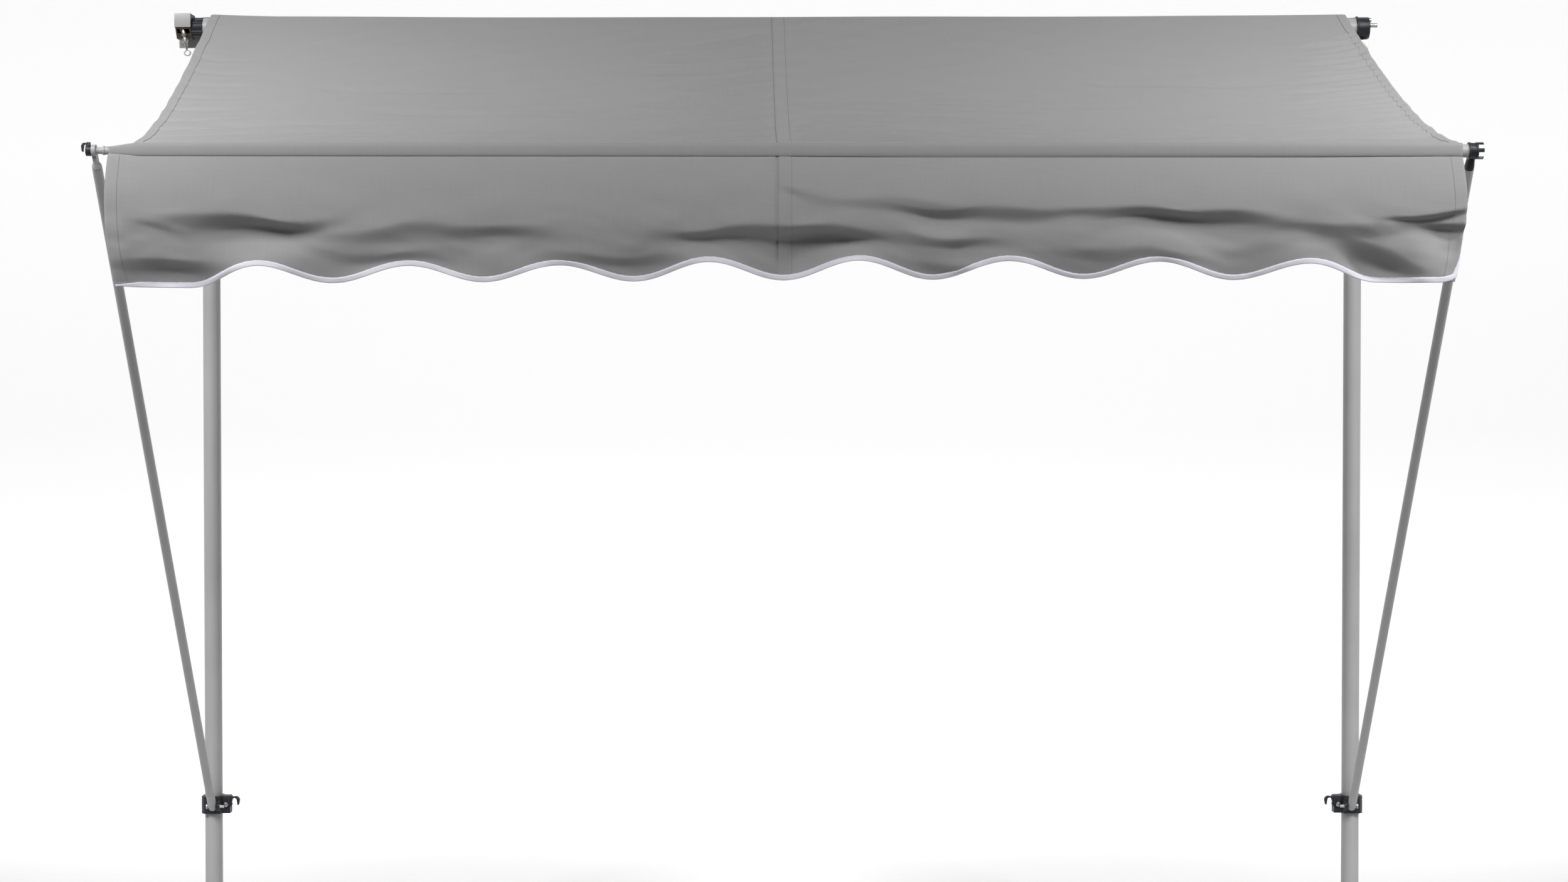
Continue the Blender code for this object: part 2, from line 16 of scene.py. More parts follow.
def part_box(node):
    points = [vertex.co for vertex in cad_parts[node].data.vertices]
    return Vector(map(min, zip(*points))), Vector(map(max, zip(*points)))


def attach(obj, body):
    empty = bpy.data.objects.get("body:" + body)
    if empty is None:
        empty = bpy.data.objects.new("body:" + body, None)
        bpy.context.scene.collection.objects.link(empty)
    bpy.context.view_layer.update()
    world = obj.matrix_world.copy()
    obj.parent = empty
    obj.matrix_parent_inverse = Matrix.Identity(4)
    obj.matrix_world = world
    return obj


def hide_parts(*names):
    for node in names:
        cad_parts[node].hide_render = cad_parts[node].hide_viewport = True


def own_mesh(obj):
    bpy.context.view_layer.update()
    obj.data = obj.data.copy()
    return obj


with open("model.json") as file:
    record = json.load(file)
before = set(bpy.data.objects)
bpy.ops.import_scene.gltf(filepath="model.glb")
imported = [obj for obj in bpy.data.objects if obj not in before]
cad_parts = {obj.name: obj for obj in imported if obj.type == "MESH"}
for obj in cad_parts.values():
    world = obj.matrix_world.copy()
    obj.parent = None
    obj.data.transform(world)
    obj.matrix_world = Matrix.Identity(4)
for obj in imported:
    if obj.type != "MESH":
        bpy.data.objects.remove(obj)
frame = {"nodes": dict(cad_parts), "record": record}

LOG = logging.getLogger("awning")
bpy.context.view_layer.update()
# How low and how high the valance's taped edge hangs, from left to right.
TROUGH_HEIGHTS = (1.7550, 1.7530, 1.7640, 1.7670, 1.7700, 1.7725, 1.7700, 1.7640)
CREST_HEIGHTS = (1.8000, 1.8010, 1.8080, 1.8110, 1.8090, 1.8045)
# The canopy's longest creases: left end, distance from the roller, length and fall.
LONG_CREASES = (
    (-1.25, 0.95, 0.85, 0.050), (-1.10, 1.04, 1.05, 0.015), (-1.35, 1.11, 0.75, 0.010),
    (-0.75, 1.15, 0.70, -0.010), (0.35, 0.97, 0.80, 0.030), (0.50, 1.06, 0.90, -0.020),
    (0.15, 1.14, 0.75, 0.015), (0.85, 1.13, 0.55, -0.015), (0.30, 0.66, 0.60, 0.030),
    (-1.10, 0.55, 0.50, 0.020), (0.70, 0.50, 0.60, 0.035), (-0.95, 0.74, 0.60, 0.025),
    (0.95, 0.84, 0.45, 0.030), (-1.30, 0.83, 0.50, 0.035),
)
# How far down from the roller the creases start on each side of the middle seam.
LEFT_OF_SEAM = (0.16, 0.25, 0.36, 0.45, 0.55, 0.64, 0.72, 0.80, 0.87, 0.94, 1.00, 1.06, 1.12)
RIGHT_OF_SEAM = (0.70, 0.82, 0.91, 0.98, 1.05, 1.12)
# The roll's radius from left to right, as (place across, radius).
ROLL_RADII = (
    (-1.46, 0.0345), (-1.40, 0.0320), (-1.30, 0.0292), (-0.90, 0.0275), (-0.45, 0.0268),
    (0.1, 0.0288), (0.9, 0.0300), (1.25, 0.0330), (1.44, 0.0355),
)
Shape = tuple[np.ndarray, list[tuple[int, ...]]]  # a mesh's points and faces
CLOTH_POINT = "cloth_place"  # each cloth vertex's place on the flat cloth, in metres


class Slot(Enum):
    """The record's material slots."""

    CLOTH = "canopy_cloth"
    TAPE = "edge_tape"
    PAINT = "grey_paint"
    PLASTIC = "black_plastic"
    RUBBER = "pad_rubber"
    ZINC = "bright_zinc"
    DARK = "dark_metal"


class Body(Enum):
    """The rigid bodies that carry new pieces."""

    FRAME = "frame"
    BAR = "front_bar"
    ROLLER = "roller"


# Finishes.


class Bench:
    """A small bench for wiring one material's nodes."""

    def __init__(self, name: str) -> None:
        """Starts a material that holds only its shader and output.

        Args:
            name: the material's name.
        """
        self.material = bpy.data.materials.new(name)
        self.material.use_nodes = True
        self.nodes = self.material.node_tree.nodes
        self.links = self.material.node_tree.links
        self.shader = self.nodes["Principled BSDF"]

    def add(self, kind: str, **settings: object) -> bpy.types.Node:
        """Adds a node and sets its properties.

        Args:
            kind: the node's type name.
            settings: properties of the node, by name.

        Returns:
            The new node.
        """
        node = self.nodes.new(kind)
        for key, value in settings.items():
            setattr(node, key, value)
        return node

    def feed(self, socket: bpy.types.NodeSocket, value: object) -> None:
        """Links an output to a socket, or sets the socket's own value.

        Args:
            socket: the input that is fed.
            value: an output socket, or a plain value.
        """
        if isinstance(value, bpy.types.NodeSocket):
            self.links.new(value, socket)
        else:
            socket.default_value = value

    def math(self, operation: str, first: object, second: object = 0.0) -> bpy.types.NodeSocket:
        """One sum on two values.

        Args:
            operation: the Math node's operation.
            first: an output or a number.
            second: an output or a number.

        Returns:
            The result's socket.
        """
        node = self.add("ShaderNodeMath", operation=operation)
        self.feed(node.inputs[0], first)
        self.feed(node.inputs[1], second)
        return node.outputs[0]

    def place(self, cloth: bool = False) -> bpy.types.NodeSocket:
        """Where a point is: on the flat cloth, or in the object's own metres.

        Args:
            cloth: whether the piece stores its place on the cloth.

        Returns:
            A vector socket in metres.
        """
        if cloth:
            return self.add("ShaderNodeAttribute", attribute_name=CLOTH_POINT).outputs["Vector"]
        return self.add("ShaderNodeTexCoord").outputs["Object"]

    def stretch(self, vector: bpy.types.NodeSocket, scale: Sequence[float]) -> bpy.types.NodeSocket:
        """A vector scaled along its axes.

        Args:
            vector: the vector that is scaled.
            scale: three factors.

        Returns:
            The scaled vector's socket.
        """
        node = self.add("ShaderNodeMapping")
        self.feed(node.inputs["Vector"], vector)
        node.inputs["Scale"].default_value = scale
        return node.outputs["Vector"]

    def noise(
        self, vector: bpy.types.NodeSocket, scale: float, detail: float = 3.0, rough: float = 0.5
    ) -> bpy.types.NodeSocket:
        """Smooth noise from 0 to 1.

        Args:
            vector: where it is read, in metres.
            scale: waves in a metre.
            detail: how many finer layers it has.
            rough: how strong the finer layers are.

        Returns:
            The noise value's socket.
        """
        node = self.add("ShaderNodeTexNoise")
        self.feed(node.inputs["Vector"], vector)
        node.inputs["Scale"].default_value = scale
        node.inputs["Detail"].default_value = detail
        node.inputs["Roughness"].default_value = rough
        return node.outputs["Fac"]

    def span(
        self, value: bpy.types.NodeSocket, low: float, high: float, to_low: float, to_high: float
    ) -> bpy.types.NodeSocket:
        """A value mapped from one range to another and held inside it.

        Args:
            value: the value that is mapped.
            low: where the first range starts.
            high: where the first range ends.
            to_low: what low becomes.
            to_high: what high becomes.

        Returns:
            The mapped value's socket.
        """
        node = self.add("ShaderNodeMapRange")
        self.feed(node.inputs["Value"], value)
        for name, number in (("From Min", low), ("From Max", high), ("To Min", to_low), ("To Max", to_high)):
            node.inputs[name].default_value = number
        return node.outputs["Result"]

    def mix(self, share: object, first: object, second: object) -> bpy.types.NodeSocket:
        """Two colours mixed.

        Args:
            share: how much of the second, from 0 to 1.
            first: an RGB colour or an output.
            second: an RGB colour or an output.

        Returns:
            The mixed colour's socket.
        """
        node = self.add("ShaderNodeMix", data_type="RGBA")
        self.feed(node.inputs[0], share)
        for socket, colour in ((node.inputs[6], first), (node.inputs[7], second)):
            self.feed(socket, colour if isinstance(colour, bpy.types.NodeSocket) else (*colour, 1.0))
        return node.outputs[2]

    def bump(self, height: bpy.types.NodeSocket, depth: float, strength: float = 1.0) -> None:
        """Raises the surface by a height, on top of any bump it has.

        Args:
            height: the height, from 0 to 1.
            depth: how many metres 1 stands for.
            strength: how much of it shows.
        """
        node = self.add("ShaderNodeBump")
        node.inputs["Distance"].default_value = depth
        node.inputs["Strength"].default_value = strength
        self.feed(node.inputs["Height"], height)
        normal = self.shader.inputs["Normal"]
        if normal.is_linked:
            self.links.new(normal.links[0].from_socket, node.inputs["Normal"])
        self.links.new(node.outputs["Normal"], normal)


def shade(colour: Sequence[float], factor: float) -> tuple[float, ...]:
    """A colour made lighter or darker by a factor."""
    return tuple(min(1.0, part * factor) for part in colour)


@dataclass(frozen=True)
class ClothFinish:
    """Plain-woven awning cloth: threads both ways, slubs, faint soiling and a dull sheen."""

    name: str
    colour: tuple[float, float, float]
    thread: float = 0.0011
    thread_depth: float = 0.00012
    roughness: float = 0.86
    sheen: float = 0.18
    diagonal: bool = False

    def build(self) -> bpy.types.Material:
        """Wires the finish.

        Returns:
            The material.
        """
        bench = Bench(self.name)
        place = bench.place(cloth=True)
        parts = bench.add("ShaderNodeSeparateXYZ")
        bench.feed(parts.inputs[0], place)
        across, along = parts.outputs[0], parts.outputs[1]
        if self.diagonal:
            across, along = bench.math("ADD", across, along), bench.math("SUBTRACT", across, along)
        waves = 2 * math.pi / self.thread
        warp = bench.math("SINE", bench.math("MULTIPLY", across, waves))
        weft = bench.math("SINE", bench.math("MULTIPLY", along, waves))
        weave = bench.span(bench.math("MULTIPLY", warp, weft), -1.0, 1.0, 0.0, 1.0)
        slub_along = bench.noise(bench.stretch(place, (900.0, 14.0, 1.0)), 1.0, 2.0)
        slub_across = bench.noise(bench.stretch(place, (14.0, 900.0, 1.0)), 1.0, 2.0)
        slubs = bench.math("ADD", slub_along, slub_across)
        clouds = bench.noise(place, 2.6, 5.0, 0.62)
        darker, lighter = shade(self.colour, 0.955), shade(self.colour, 1.045)
        tone = bench.mix(bench.span(slubs, 0.7, 1.3, 0.0, 1.0), darker, lighter)
        tone = bench.mix(bench.span(clouds, 0.35, 0.7, 0.0, 0.22), tone, shade(self.colour, 0.90))
        tone = bench.mix(bench.span(weave, 0.0, 1.0, 0.10, 0.0), tone, shade(self.colour, 0.72))
        bench.feed(bench.shader.inputs["Base Color"], tone)
        rough = bench.span(clouds, 0.3, 0.7, self.roughness - 0.05, self.roughness + 0.05)
        bench.feed(bench.shader.inputs["Roughness"], rough)
        bench.shader.inputs["Sheen Weight"].default_value = self.sheen
        bench.shader.inputs["Sheen Roughness"].default_value = 0.55
        bench.shader.inputs["Specular IOR Level"].default_value = 0.28
        bench.bump(weave, self.thread_depth, 0.7)
        bench.bump(slubs, 0.00008, 0.6)
        return bench.material


@dataclass(frozen=True)
class PaintFinish:
    """Powder coat: orange peel, faint dust and rubbed tone."""

    name: str
    colour: tuple[float, float, float]
    roughness: float = 0.42
    peel: float = 620.0
    peel_depth: float = 0.00012

    def build(self) -> bpy.types.Material:
        """Wires the finish.

        Returns:
            The material.
        """
        bench = Bench(self.name)
        place = bench.place()
        peel = bench.noise(place, self.peel, 2.0)
        clouds = bench.noise(place, 5.5, 5.0, 0.6)
        streaks = bench.noise(bench.stretch(place, (60.0, 60.0, 3.0)), 1.0, 3.0)
        darker, lighter = shade(self.colour, 0.94), shade(self.colour, 1.05)
        tone = bench.mix(bench.span(clouds, 0.3, 0.7, 0.0, 1.0), darker, lighter)
        tone = bench.mix(bench.span(streaks, 0.62, 0.80, 0.0, 0.35), tone, shade(self.colour, 0.80))
        bench.feed(bench.shader.inputs["Base Color"], tone)
        bench.feed(
            bench.shader.inputs["Roughness"],
            bench.span(streaks, 0.3, 0.75, self.roughness - 0.06, self.roughness + 0.12),
        )
        bench.shader.inputs["Coat Weight"].default_value = 0.12
        bench.shader.inputs["Coat Roughness"].default_value = 0.3
        bench.bump(peel, self.peel_depth, 0.5)
        return bench.material


@dataclass(frozen=True)
class MouldedFinish:
    """Moulded plastic or rubber: fine spark-eroded grain, scuffs and dust in it."""

    name: str
    colour: tuple[float, float, float]
    scuffed: tuple[float, float, float]
    roughness: float = 0.42
    grain: float = 1500.0
    grain_depth: float = 0.00010

    def build(self) -> bpy.types.Material:
        """Wires the finish.

        Returns:
            The material.
        """
        bench = Bench(self.name)
        place = bench.place()
        grain = bench.noise(place, self.grain, 2.0)
        scuffs = bench.noise(place, 75.0, 6.0, 0.7)
        tone = bench.mix(bench.span(scuffs, 0.52, 0.78, 0.0, 0.6), self.colour, self.scuffed)
        bench.feed(bench.shader.inputs["Base Color"], tone)
        rough = bench.span(scuffs, 0.3, 0.75, self.roughness - 0.08, self.roughness + 0.18)
        bench.feed(bench.shader.inputs["Roughness"], rough)
        bench.bump(grain, self.grain_depth, 0.6)
        return bench.material


@dataclass(frozen=True)
class PlatedFinish:
    """Zinc plating or bare casting: clouded tone, fine scratches and dull spots."""

    name: str
    colour: tuple[float, float, float]
    dull: tuple[float, float, float]
    roughness: float = 0.32
    metallic: float = 1.0
    scratch_depth: float = 0.00004

    def build(self) -> bpy.types.Material:
        """Wires the finish.

        Returns:
            The material.
        """
        bench = Bench(self.name)
        place = bench.place()
        clouds = bench.noise(place, 160.0, 4.0, 0.6)
        scratches = bench.noise(bench.stretch(place, (300.0, 2200.0, 2200.0)), 1.0, 3.0)
        tone = bench.mix(bench.span(clouds, 0.42, 0.72, 0.0, 1.0), self.colour, self.dull)
        bench.feed(bench.shader.inputs["Base Color"], tone)
        rough = bench.span(clouds, 0.3, 0.75, self.roughness - 0.08, self.roughness + 0.2)
        bench.feed(bench.shader.inputs["Roughness"], rough)
        bench.shader.inputs["Metallic"].default_value = self.metallic
        bench.bump(scratches, self.scratch_depth, 0.5)
        return bench.material


@dataclass
class Finishes:
    """Every finish of the awning, built once and handed out by slot."""

    made: dict[Slot, bpy.types.Material] = field(default_factory=dict)
    thread: Optional[bpy.types.Material] = None
    tape_thread: Optional[bpy.types.Material] = None

    def build(self) -> "Finishes":
        """Builds all of them.

        Returns:
            Itself, for chaining.
        """
        self.made = {
            Slot.CLOTH: ClothFinish("grey awning cloth", (0.318, 0.318, 0.319)).build(),
            Slot.TAPE: ClothFinish(
                "white bias tape", (0.82, 0.80, 0.87), thread=0.0009, diagonal=True, roughness=0.78
            ).build(),
            Slot.PAINT: PaintFinish("light grey powder coat", (0.40, 0.40, 0.402)).build(),
            Slot.PLASTIC: MouldedFinish(
                "black moulded plastic", (0.012, 0.014, 0.020), (0.045, 0.048, 0.058)
            ).build(),
            Slot.RUBBER: MouldedFinish(
                "black pad rubber", (0.018, 0.018, 0.018), (0.06, 0.058, 0.055), roughness=0.8, grain=900.0
            ).build(),
            Slot.ZINC: PlatedFinish("bright zinc plating", (0.64, 0.64, 0.63), (0.40, 0.41, 0.42)).build(),
            Slot.DARK: PlatedFinish(
                "dark cast gear case", (0.11, 0.085, 0.065), (0.045, 0.040, 0.036), roughness=0.5, metallic=0.5
            ).build(),
        }
        self.thread = ClothFinish("grey sewing thread", (0.10, 0.10, 0.10), thread=0.0004).build()
        self.tape_thread = ClothFinish("lilac white thread", (0.62, 0.58, 0.74), thread=0.0004).build()
        return self


# Mesh tools.


def smooth_rise(value: np.ndarray, low: float, high: float) -> np.ndarray:
    """A smooth step from 0 at low to 1 at high.

    Args:
        value: where it is read.
        low: where it leaves 0.
        high: where it reaches 1.

    Returns:
        The step's value at each point.
    """
    share = np.clip((value - low) / (high - low), 0.0, 1.0)
    return share * share * (3.0 - 2.0 * share)


@dataclass
class Pieces:
    """Makes scene objects, dresses them and reports each one."""

    finishes: Finishes

    def from_arrays(
        self,
        name: str,
        points: np.ndarray,
        faces: Sequence[Sequence[int]],
        material: bpy.types.Material,
        places: Optional[np.ndarray] = None,
    ) -> bpy.types.Object:
        """An object from arrays of points and faces.

        Args:
            name: the piece's name.
            points: vertex places in metres.
            faces: vertex numbers of each face.
            material: its finish.
            places: each vertex's place on the flat cloth, if it is cloth.

        Returns:
            The new object, shaded smooth.
        """
        mesh = bpy.data.meshes.new(name)
        mesh.from_pydata(points.tolist(), [], [list(face) for face in faces])
        mesh.validate()
        mesh.update()
        mesh.materials.append(material)
        mesh.shade_smooth()
        if places is not None:
            stored = mesh.attributes.new(CLOTH_POINT, "FLOAT_VECTOR", "POINT")
            stored.data.foreach_set("vector", places.astype(np.float32).ravel())
        piece = bpy.data.objects.new(name, mesh)
        bpy.context.scene.collection.objects.link(piece)
        return piece

    def grid(
        self,
        name: str,
        points: np.ndarray,
        material: bpy.types.Material,
        places: Optional[np.ndarray] = None,
        closed_rows: bool = False,
        closed_columns: bool = False,
    ) -> bpy.types.Object:
        """A sheet of quads over a (rows, columns, 3) array of points.

        Args:
            name: the piece's name.
            points: the places of the grid's corners.
            material: its finish.
            places: the same grid's places on the flat cloth.
            closed_rows: whether the last row joins the first.
            closed_columns: whether the last column joins the first.

        Returns:
            The new object.
        """
        rows, columns = points.shape[:2]
        number = np.arange(rows * columns).reshape(rows, columns)
        if closed_rows:
            number = np.vstack([number, number[:1]])
        if closed_columns:
            number = np.hstack([number, number[:, :1]])
        corners = [number[:-1, :-1], number[:-1, 1:], number[1:, 1:], number[1:, :-1]]
        quads = np.stack(corners, axis=-1).reshape(-1, 4)
        flat_places = None if places is None else places.reshape(-1, 3)
        return self.from_arrays(name, points.reshape(-1, 3), quads.tolist(), material, flat_places)

    def finish_piece(self, piece: bpy.types.Object, body: Body, slot: Slot, *nodes: str) -> bpy.types.Object:
        """Lets a piece ride, hides the CAD nodes that it replaces, and reports it.

        Args:
            piece: the piece.
            body: the body that it moves with.
            slot: the record's slot of its finish; not used.
            nodes: the CAD nodes that it replaces.

        Returns:
            The piece.
        """
        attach(piece, body.value)
        if nodes:
            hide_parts(*nodes)
        LOG.info("%s rides on %s, %d faces", piece.name, body.value, len(piece.data.polygons))
        return piece


def thicken(piece: bpy.types.Object, thickness: float, offset: float = 0.0) -> None:
    """Gives a sheet its cloth thickness with closed edges.

    Args:
        piece: the sheet.
        thickness: in metres.
        offset: -1 inward, 0 both ways, 1 outward.
    """
    modifier = piece.modifiers.new("cloth thickness", "SOLIDIFY")
    modifier.thickness = thickness
    modifier.offset = offset
    apply_modifiers(piece)


def apply_modifiers(piece: bpy.types.Object) -> None:
    """Bakes a piece's modifiers into its mesh.

    Args:
        piece: the piece.
    """
    bpy.context.view_layer.update()
    graph = bpy.context.evaluated_depsgraph_get()
    shown = piece.evaluated_get(graph)
    baked = bpy.data.meshes.new_from_object(shown, preserve_all_data_layers=True, depsgraph=graph)
    piece.modifiers.clear()
    piece.data = baked


def sweep(path: np.ndarray, normal: np.ndarray, section: Sequence[tuple[float, float]]) -> np.ndarray:
    """A closed cross-section carried along a path.

    Args:
        path: the path's points.
        normal: at each point, the direction of the section's first axis.
        section: the section's points, on the normal and on the path's side direction.

    Returns:
        A (path, section, 3) array of points.
    """
    tangent = np.gradient(path, axis=0)
    tangent /= np.linalg.norm(tangent, axis=1, keepdims=True)
    side = np.cross(tangent, normal)
    side /= np.linalg.norm(side, axis=1, keepdims=True)
    up = np.cross(side, tangent)
    rows = [path + up * first + side * second for first, second in section]
    return np.stack(rows, axis=1)


def cumulative(path: np.ndarray) -> np.ndarray:
    """Length along a path at each of its points."""
    steps = np.linalg.norm(np.diff(path, axis=0), axis=1)
    return np.concatenate([[0.0], np.cumsum(steps)])


@dataclass
class StitchRow:
    """A row of lock stitches laid along a line on the cloth."""

    pitch: float = 0.0046
    gap: float = 0.0012
    width: float = 0.00075
    lift: float = 0.0003

    def solids(self, path: np.ndarray, normal: np.ndarray) -> Shape:
        """The stitches as slim eight-sided beads.

        Args:
            path: points of the line.
            normal: the cloth's outward direction at each point.

        Returns:
            Points and triangles.
        """
        along = cumulative(path)
        count = max(1, int(along[-1] / self.pitch))
        starts = np.arange(count) * self.pitch
        ends = starts + self.pitch - self.gap
        first = np.stack([np.interp(starts, along, path[:, axis]) for axis in range(3)], axis=1)
        last = np.stack([np.interp(ends, along, path[:, axis]) for axis in range(3)], axis=1)
        out = np.stack([np.interp(starts, along, normal[:, axis]) for axis in range(3)], axis=1)
        out /= np.linalg.norm(out, axis=1, keepdims=True)
        side = np.cross(last - first, out)
        side /= np.linalg.norm(side, axis=1, keepdims=True)
        middle = (first + last) / 2 + out * self.lift
        ring = [
            middle + side * self.width,
            middle + out * self.width,
            middle - side * self.width,
            middle - out * self.width,
        ]
        points = np.stack([first - out * self.width, *ring, last - out * self.width], axis=1).reshape(-1, 3)
        pattern = [(0, 2, 1), (0, 3, 2), (0, 4, 3), (0, 1, 4), (5, 1, 2), (5, 2, 3), (5, 3, 4), (5, 4, 1)]
        faces = [(6 * item + a, 6 * item + b, 6 * item + c) for item in range(count) for a, b, c in pattern]
        return points, faces


def gather(shapes: Sequence[Shape]) -> Shape:
    """Several shapes' points and faces as one set.

    Args:
        shapes: pairs of points and faces.

    Returns:
        All points, and all faces renumbered.
    """
    points, faces, start = [], [], 0
    for some_points, some_faces in shapes:
        points.append(some_points)
        faces += [tuple(start + corner for corner in face) for face in some_faces]
        start += len(some_points)
    return np.concatenate(points), faces


# Cloth.


def crumple(first: np.ndarray, second: np.ndarray, size: float) -> np.ndarray:
    """Gentle unevenness of hanging cloth, from waves in several directions that bend each other.

    Args:
        first: one coordinate on the cloth, in metres.
        second: the other coordinate.
        size: its height, in metres.

    Returns:
        The unevenness at each place.
    """
    total = np.zeros_like(first + second)
    for number in range(7):
        heading = 0.45 * math.sin(2.7 * number + 0.4)
        along = first * math.cos(heading) + second * math.sin(heading)
        over = second * math.cos(heading) - first * math.sin(heading)
        bend = 1.3 * np.sin(3.1 * along + 1.9 * number) + 0.6 * np.sin(11.0 * along + number)
        ridges = np.sin(over * (26.0 + 9.0 * number) + bend)
        total += ridges * np.sin(along * (3.0 + 1.7 * number) + 2.2 * number)
    return size * total / 3.0


@dataclass(frozen=True)
class Crease:
    """A long crease in a sheet: a valley with a raised lip on one side."""

    start: tuple[float, float]
    end: tuple[float, float]
    bend: float
    width: float
    depth: float

    def height(self, across: np.ndarray, along: np.ndarray) -> np.ndarray:
        """How far the crease lifts the cloth.

        Args:
            across: places across the cloth, in metres from its middle.
            along: places down the cloth, in metres from the roller.

        Returns:
            The lift at each place, in metres.
        """
        share = (across - self.start[0]) / (self.end[0] - self.start[0])
        inside = np.clip(share, 0.0, 1.0)
        line = self.start[1] + (self.end[1] - self.start[1]) * inside + self.bend * 4 * inside * (1 - inside)
        off = (along - line) / self.width
        fade = smooth_rise(share, -0.03, 0.12) * (1 - smooth_rise(share, 0.50, 1.05))
        return self.depth * fade * (0.8 * np.exp(-((off + 1.5) ** 2) / 1.4) - np.exp(-(off**2)))


@dataclass
class Canopy:
    """The sloping sheet from the roll to the front bar: two widths joined in the middle, hems at the sides."""

    pieces: Pieces
    width: float = 2.90
    length: float = 1.25
    flat_length: float = 1.27
    thickness: float = 0.0006
    hem: float = 0.026
    outward: tuple[float, float, float] = (0.0, -0.30, 0.954)
    rows: int = 236
    roll_core: float = 0.0256
    end_rings: int = 8
    seam_left: float = -0.0175
    seam_width: float = 0.033
    sag: float = 0.056
    left_sag: float = 0.076
    right_sag: float = 0.047
    bunch_gap: float = 0.030
    bunch_back: float = 0.012
    back_shift: float = -0.010
    front_shift: float = 0.004

    def __post_init__(self) -> None:
        """Reads where the roll and the bar are."""
        roll_low, roll_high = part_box("roller_tube")
        bar_low, bar_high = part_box("front_bar_tube")
        self.roll = Vector((0.0, (roll_low.y + roll_high.y) / 2, (roll_low.z + roll_high.z) / 2))
        self.bar = Vector((0.0, (bar_low.y + bar_high.y) / 2, (bar_low.z + bar_high.z) / 2))
        self.bar_radius = (bar_high.z - bar_low.z) / 2

    def roll_radius(self, x: np.ndarray) -> np.ndarray:
        """The roll's radius: thicker where the side hems wind on each other."""
        return np.interp(x, *zip(*ROLL_RADII))

    def creases(self) -> list[Crease]:
        """Every crease of the sheet, in metres across from the middle and down from the roller.

        Returns:
            The creases.
        """
        return [*self.seam_creases(), *self.hem_creases(), *self.long_creases()]

    def seam_creases(self) -> list[Crease]:
        """The creases that the middle seam draws in from both sides.

        Returns:
            The creases.
        """
        made = []
        left = self.seam_left - 0.004
        right = self.seam_left + self.seam_width + 0.0065
        for number, along in enumerate(LEFT_OF_SEAM):
            reach = 0.26 + 0.14 * math.sin(2.3 * number) ** 2
            drop = 0.095 - 0.025 * (number % 3)
            depth = 0.0100 + 0.0020 * (number % 2)
            made.append(Crease((left, along), (left - reach, along + drop), 0.030, 0.0190, depth))
        for number, along in enumerate(RIGHT_OF_SEAM):
            reach = 0.48 + 0.20 * math.sin(1.7 * number + 1.0)
            made.append(Crease((right, along), (right + reach, along + 0.050), -0.012, 0.0150, 0.0085))
        return made

    def hem_creases(self) -> list[Crease]:
        """The short creases at the side hems, deeper on the right.

        Returns:
            The creases.
        """
        made = []
        right = self.width / 2 - 0.004
        left = 0.010 - self.width / 2
        for number in range(22):
            along = 0.16 + 0.044 * number
            reach = 0.10 + 0.08 * math.sin(1.9 * number) ** 2 + 0.012 * number
            drop = 0.045 + 0.006 * (number % 3)
            depth = 0.0066 + 0.0020 * (number % 2)
            made.append(Crease((right, along), (right - reach, along + drop), 0.012, 0.0130, depth))
        for number in range(10):
            along = 0.28 + 0.09 * number
            made.append(Crease((left, along), (left + 0.22, along + 0.03), 0.012, 0.0120, 0.0034))
        return made

    def long_creases(self) -> list[Crease]:
        """The long creases that lie across the sheet.

        Returns:
            The creases.
        """
        made = []
        for left, along, reach, fall in LONG_CREASES:
            bend = 0.014 * math.cos(9 * along)
            made.append(Crease((left, along), (left + reach, along + fall), bend, 0.0160, 0.0080))
        return made

    def stations(self) -> np.ndarray:
        """Places across the cloth, closer together at the seam and the hems.

        Returns:
            Rising distances from the middle.
        """
        half = self.width / 2
        left, right = self.seam_left, self.seam_left + self.seam_width - 0.002
        marks = [-half, -half + 0.04, -1.25, -0.36, left - 0.012, left]
        marks += [right, right + 0.009, 1.15, half - 0.04, half]
        steps = [0.0060, 0.0170, 0.0210, 0.0120, 0.0030, 0.0031, 0.0030, 0.0205, 0.0130, 0.0060]
        parts = [
            np.linspace(low, high, max(2, round((high - low) / step)), endpoint=False)
            for low, high, step in zip(marks, marks[1:], steps)
        ]
        return np.concatenate([*parts, [half]])

    def front_drop(self, x: np.ndarray) -> np.ndarray:
        """How far the cloth falls to the thin pin at the bar's left end."""
        return 0.0085 * (1 - smooth_rise(x, -1.455, -1.375))

    def surface(self, across: np.ndarray, share: np.ndarray) -> np.ndarray:
        """The sheet's middle surface.

        Args:
            across: places across, from the middle.
            share: places along, from 0 at the roll to 1 at the bar.

        Returns:
            Points in the awning's frame.
        """
        radius = self.roll_radius(across)
        lean = math.radians(25)
        start_y = self.roll.y - radius * math.sin(lean)
        start_z = self.roll.z + radius * math.cos(lean) + self.thickness
        end_y = np.full_like(across, self.bar.y + 0.004)
        end_z = self.bar.z + self.bar_radius + 0.0024 - self.front_drop(across)
        edge_left = 1 - smooth_rise(across, -1.45, -1.05)
        edge_right = smooth_rise(across, 0.95, 1.45)
        sag = self.sag + (self.left_sag - self.sag) * edge_left + (self.right_sag - self.sag) * edge_right
        shape = 4 * share * (1 - share) * (0.6 + 0.8 * share)
        y = start_y + (end_y - start_y) * share
        z = start_z + (end_z - start_z) * share - sag * shape
        x = across + self.back_shift + (self.front_shift - self.back_shift) * share
        return np.stack([x, y, z], axis=-1)

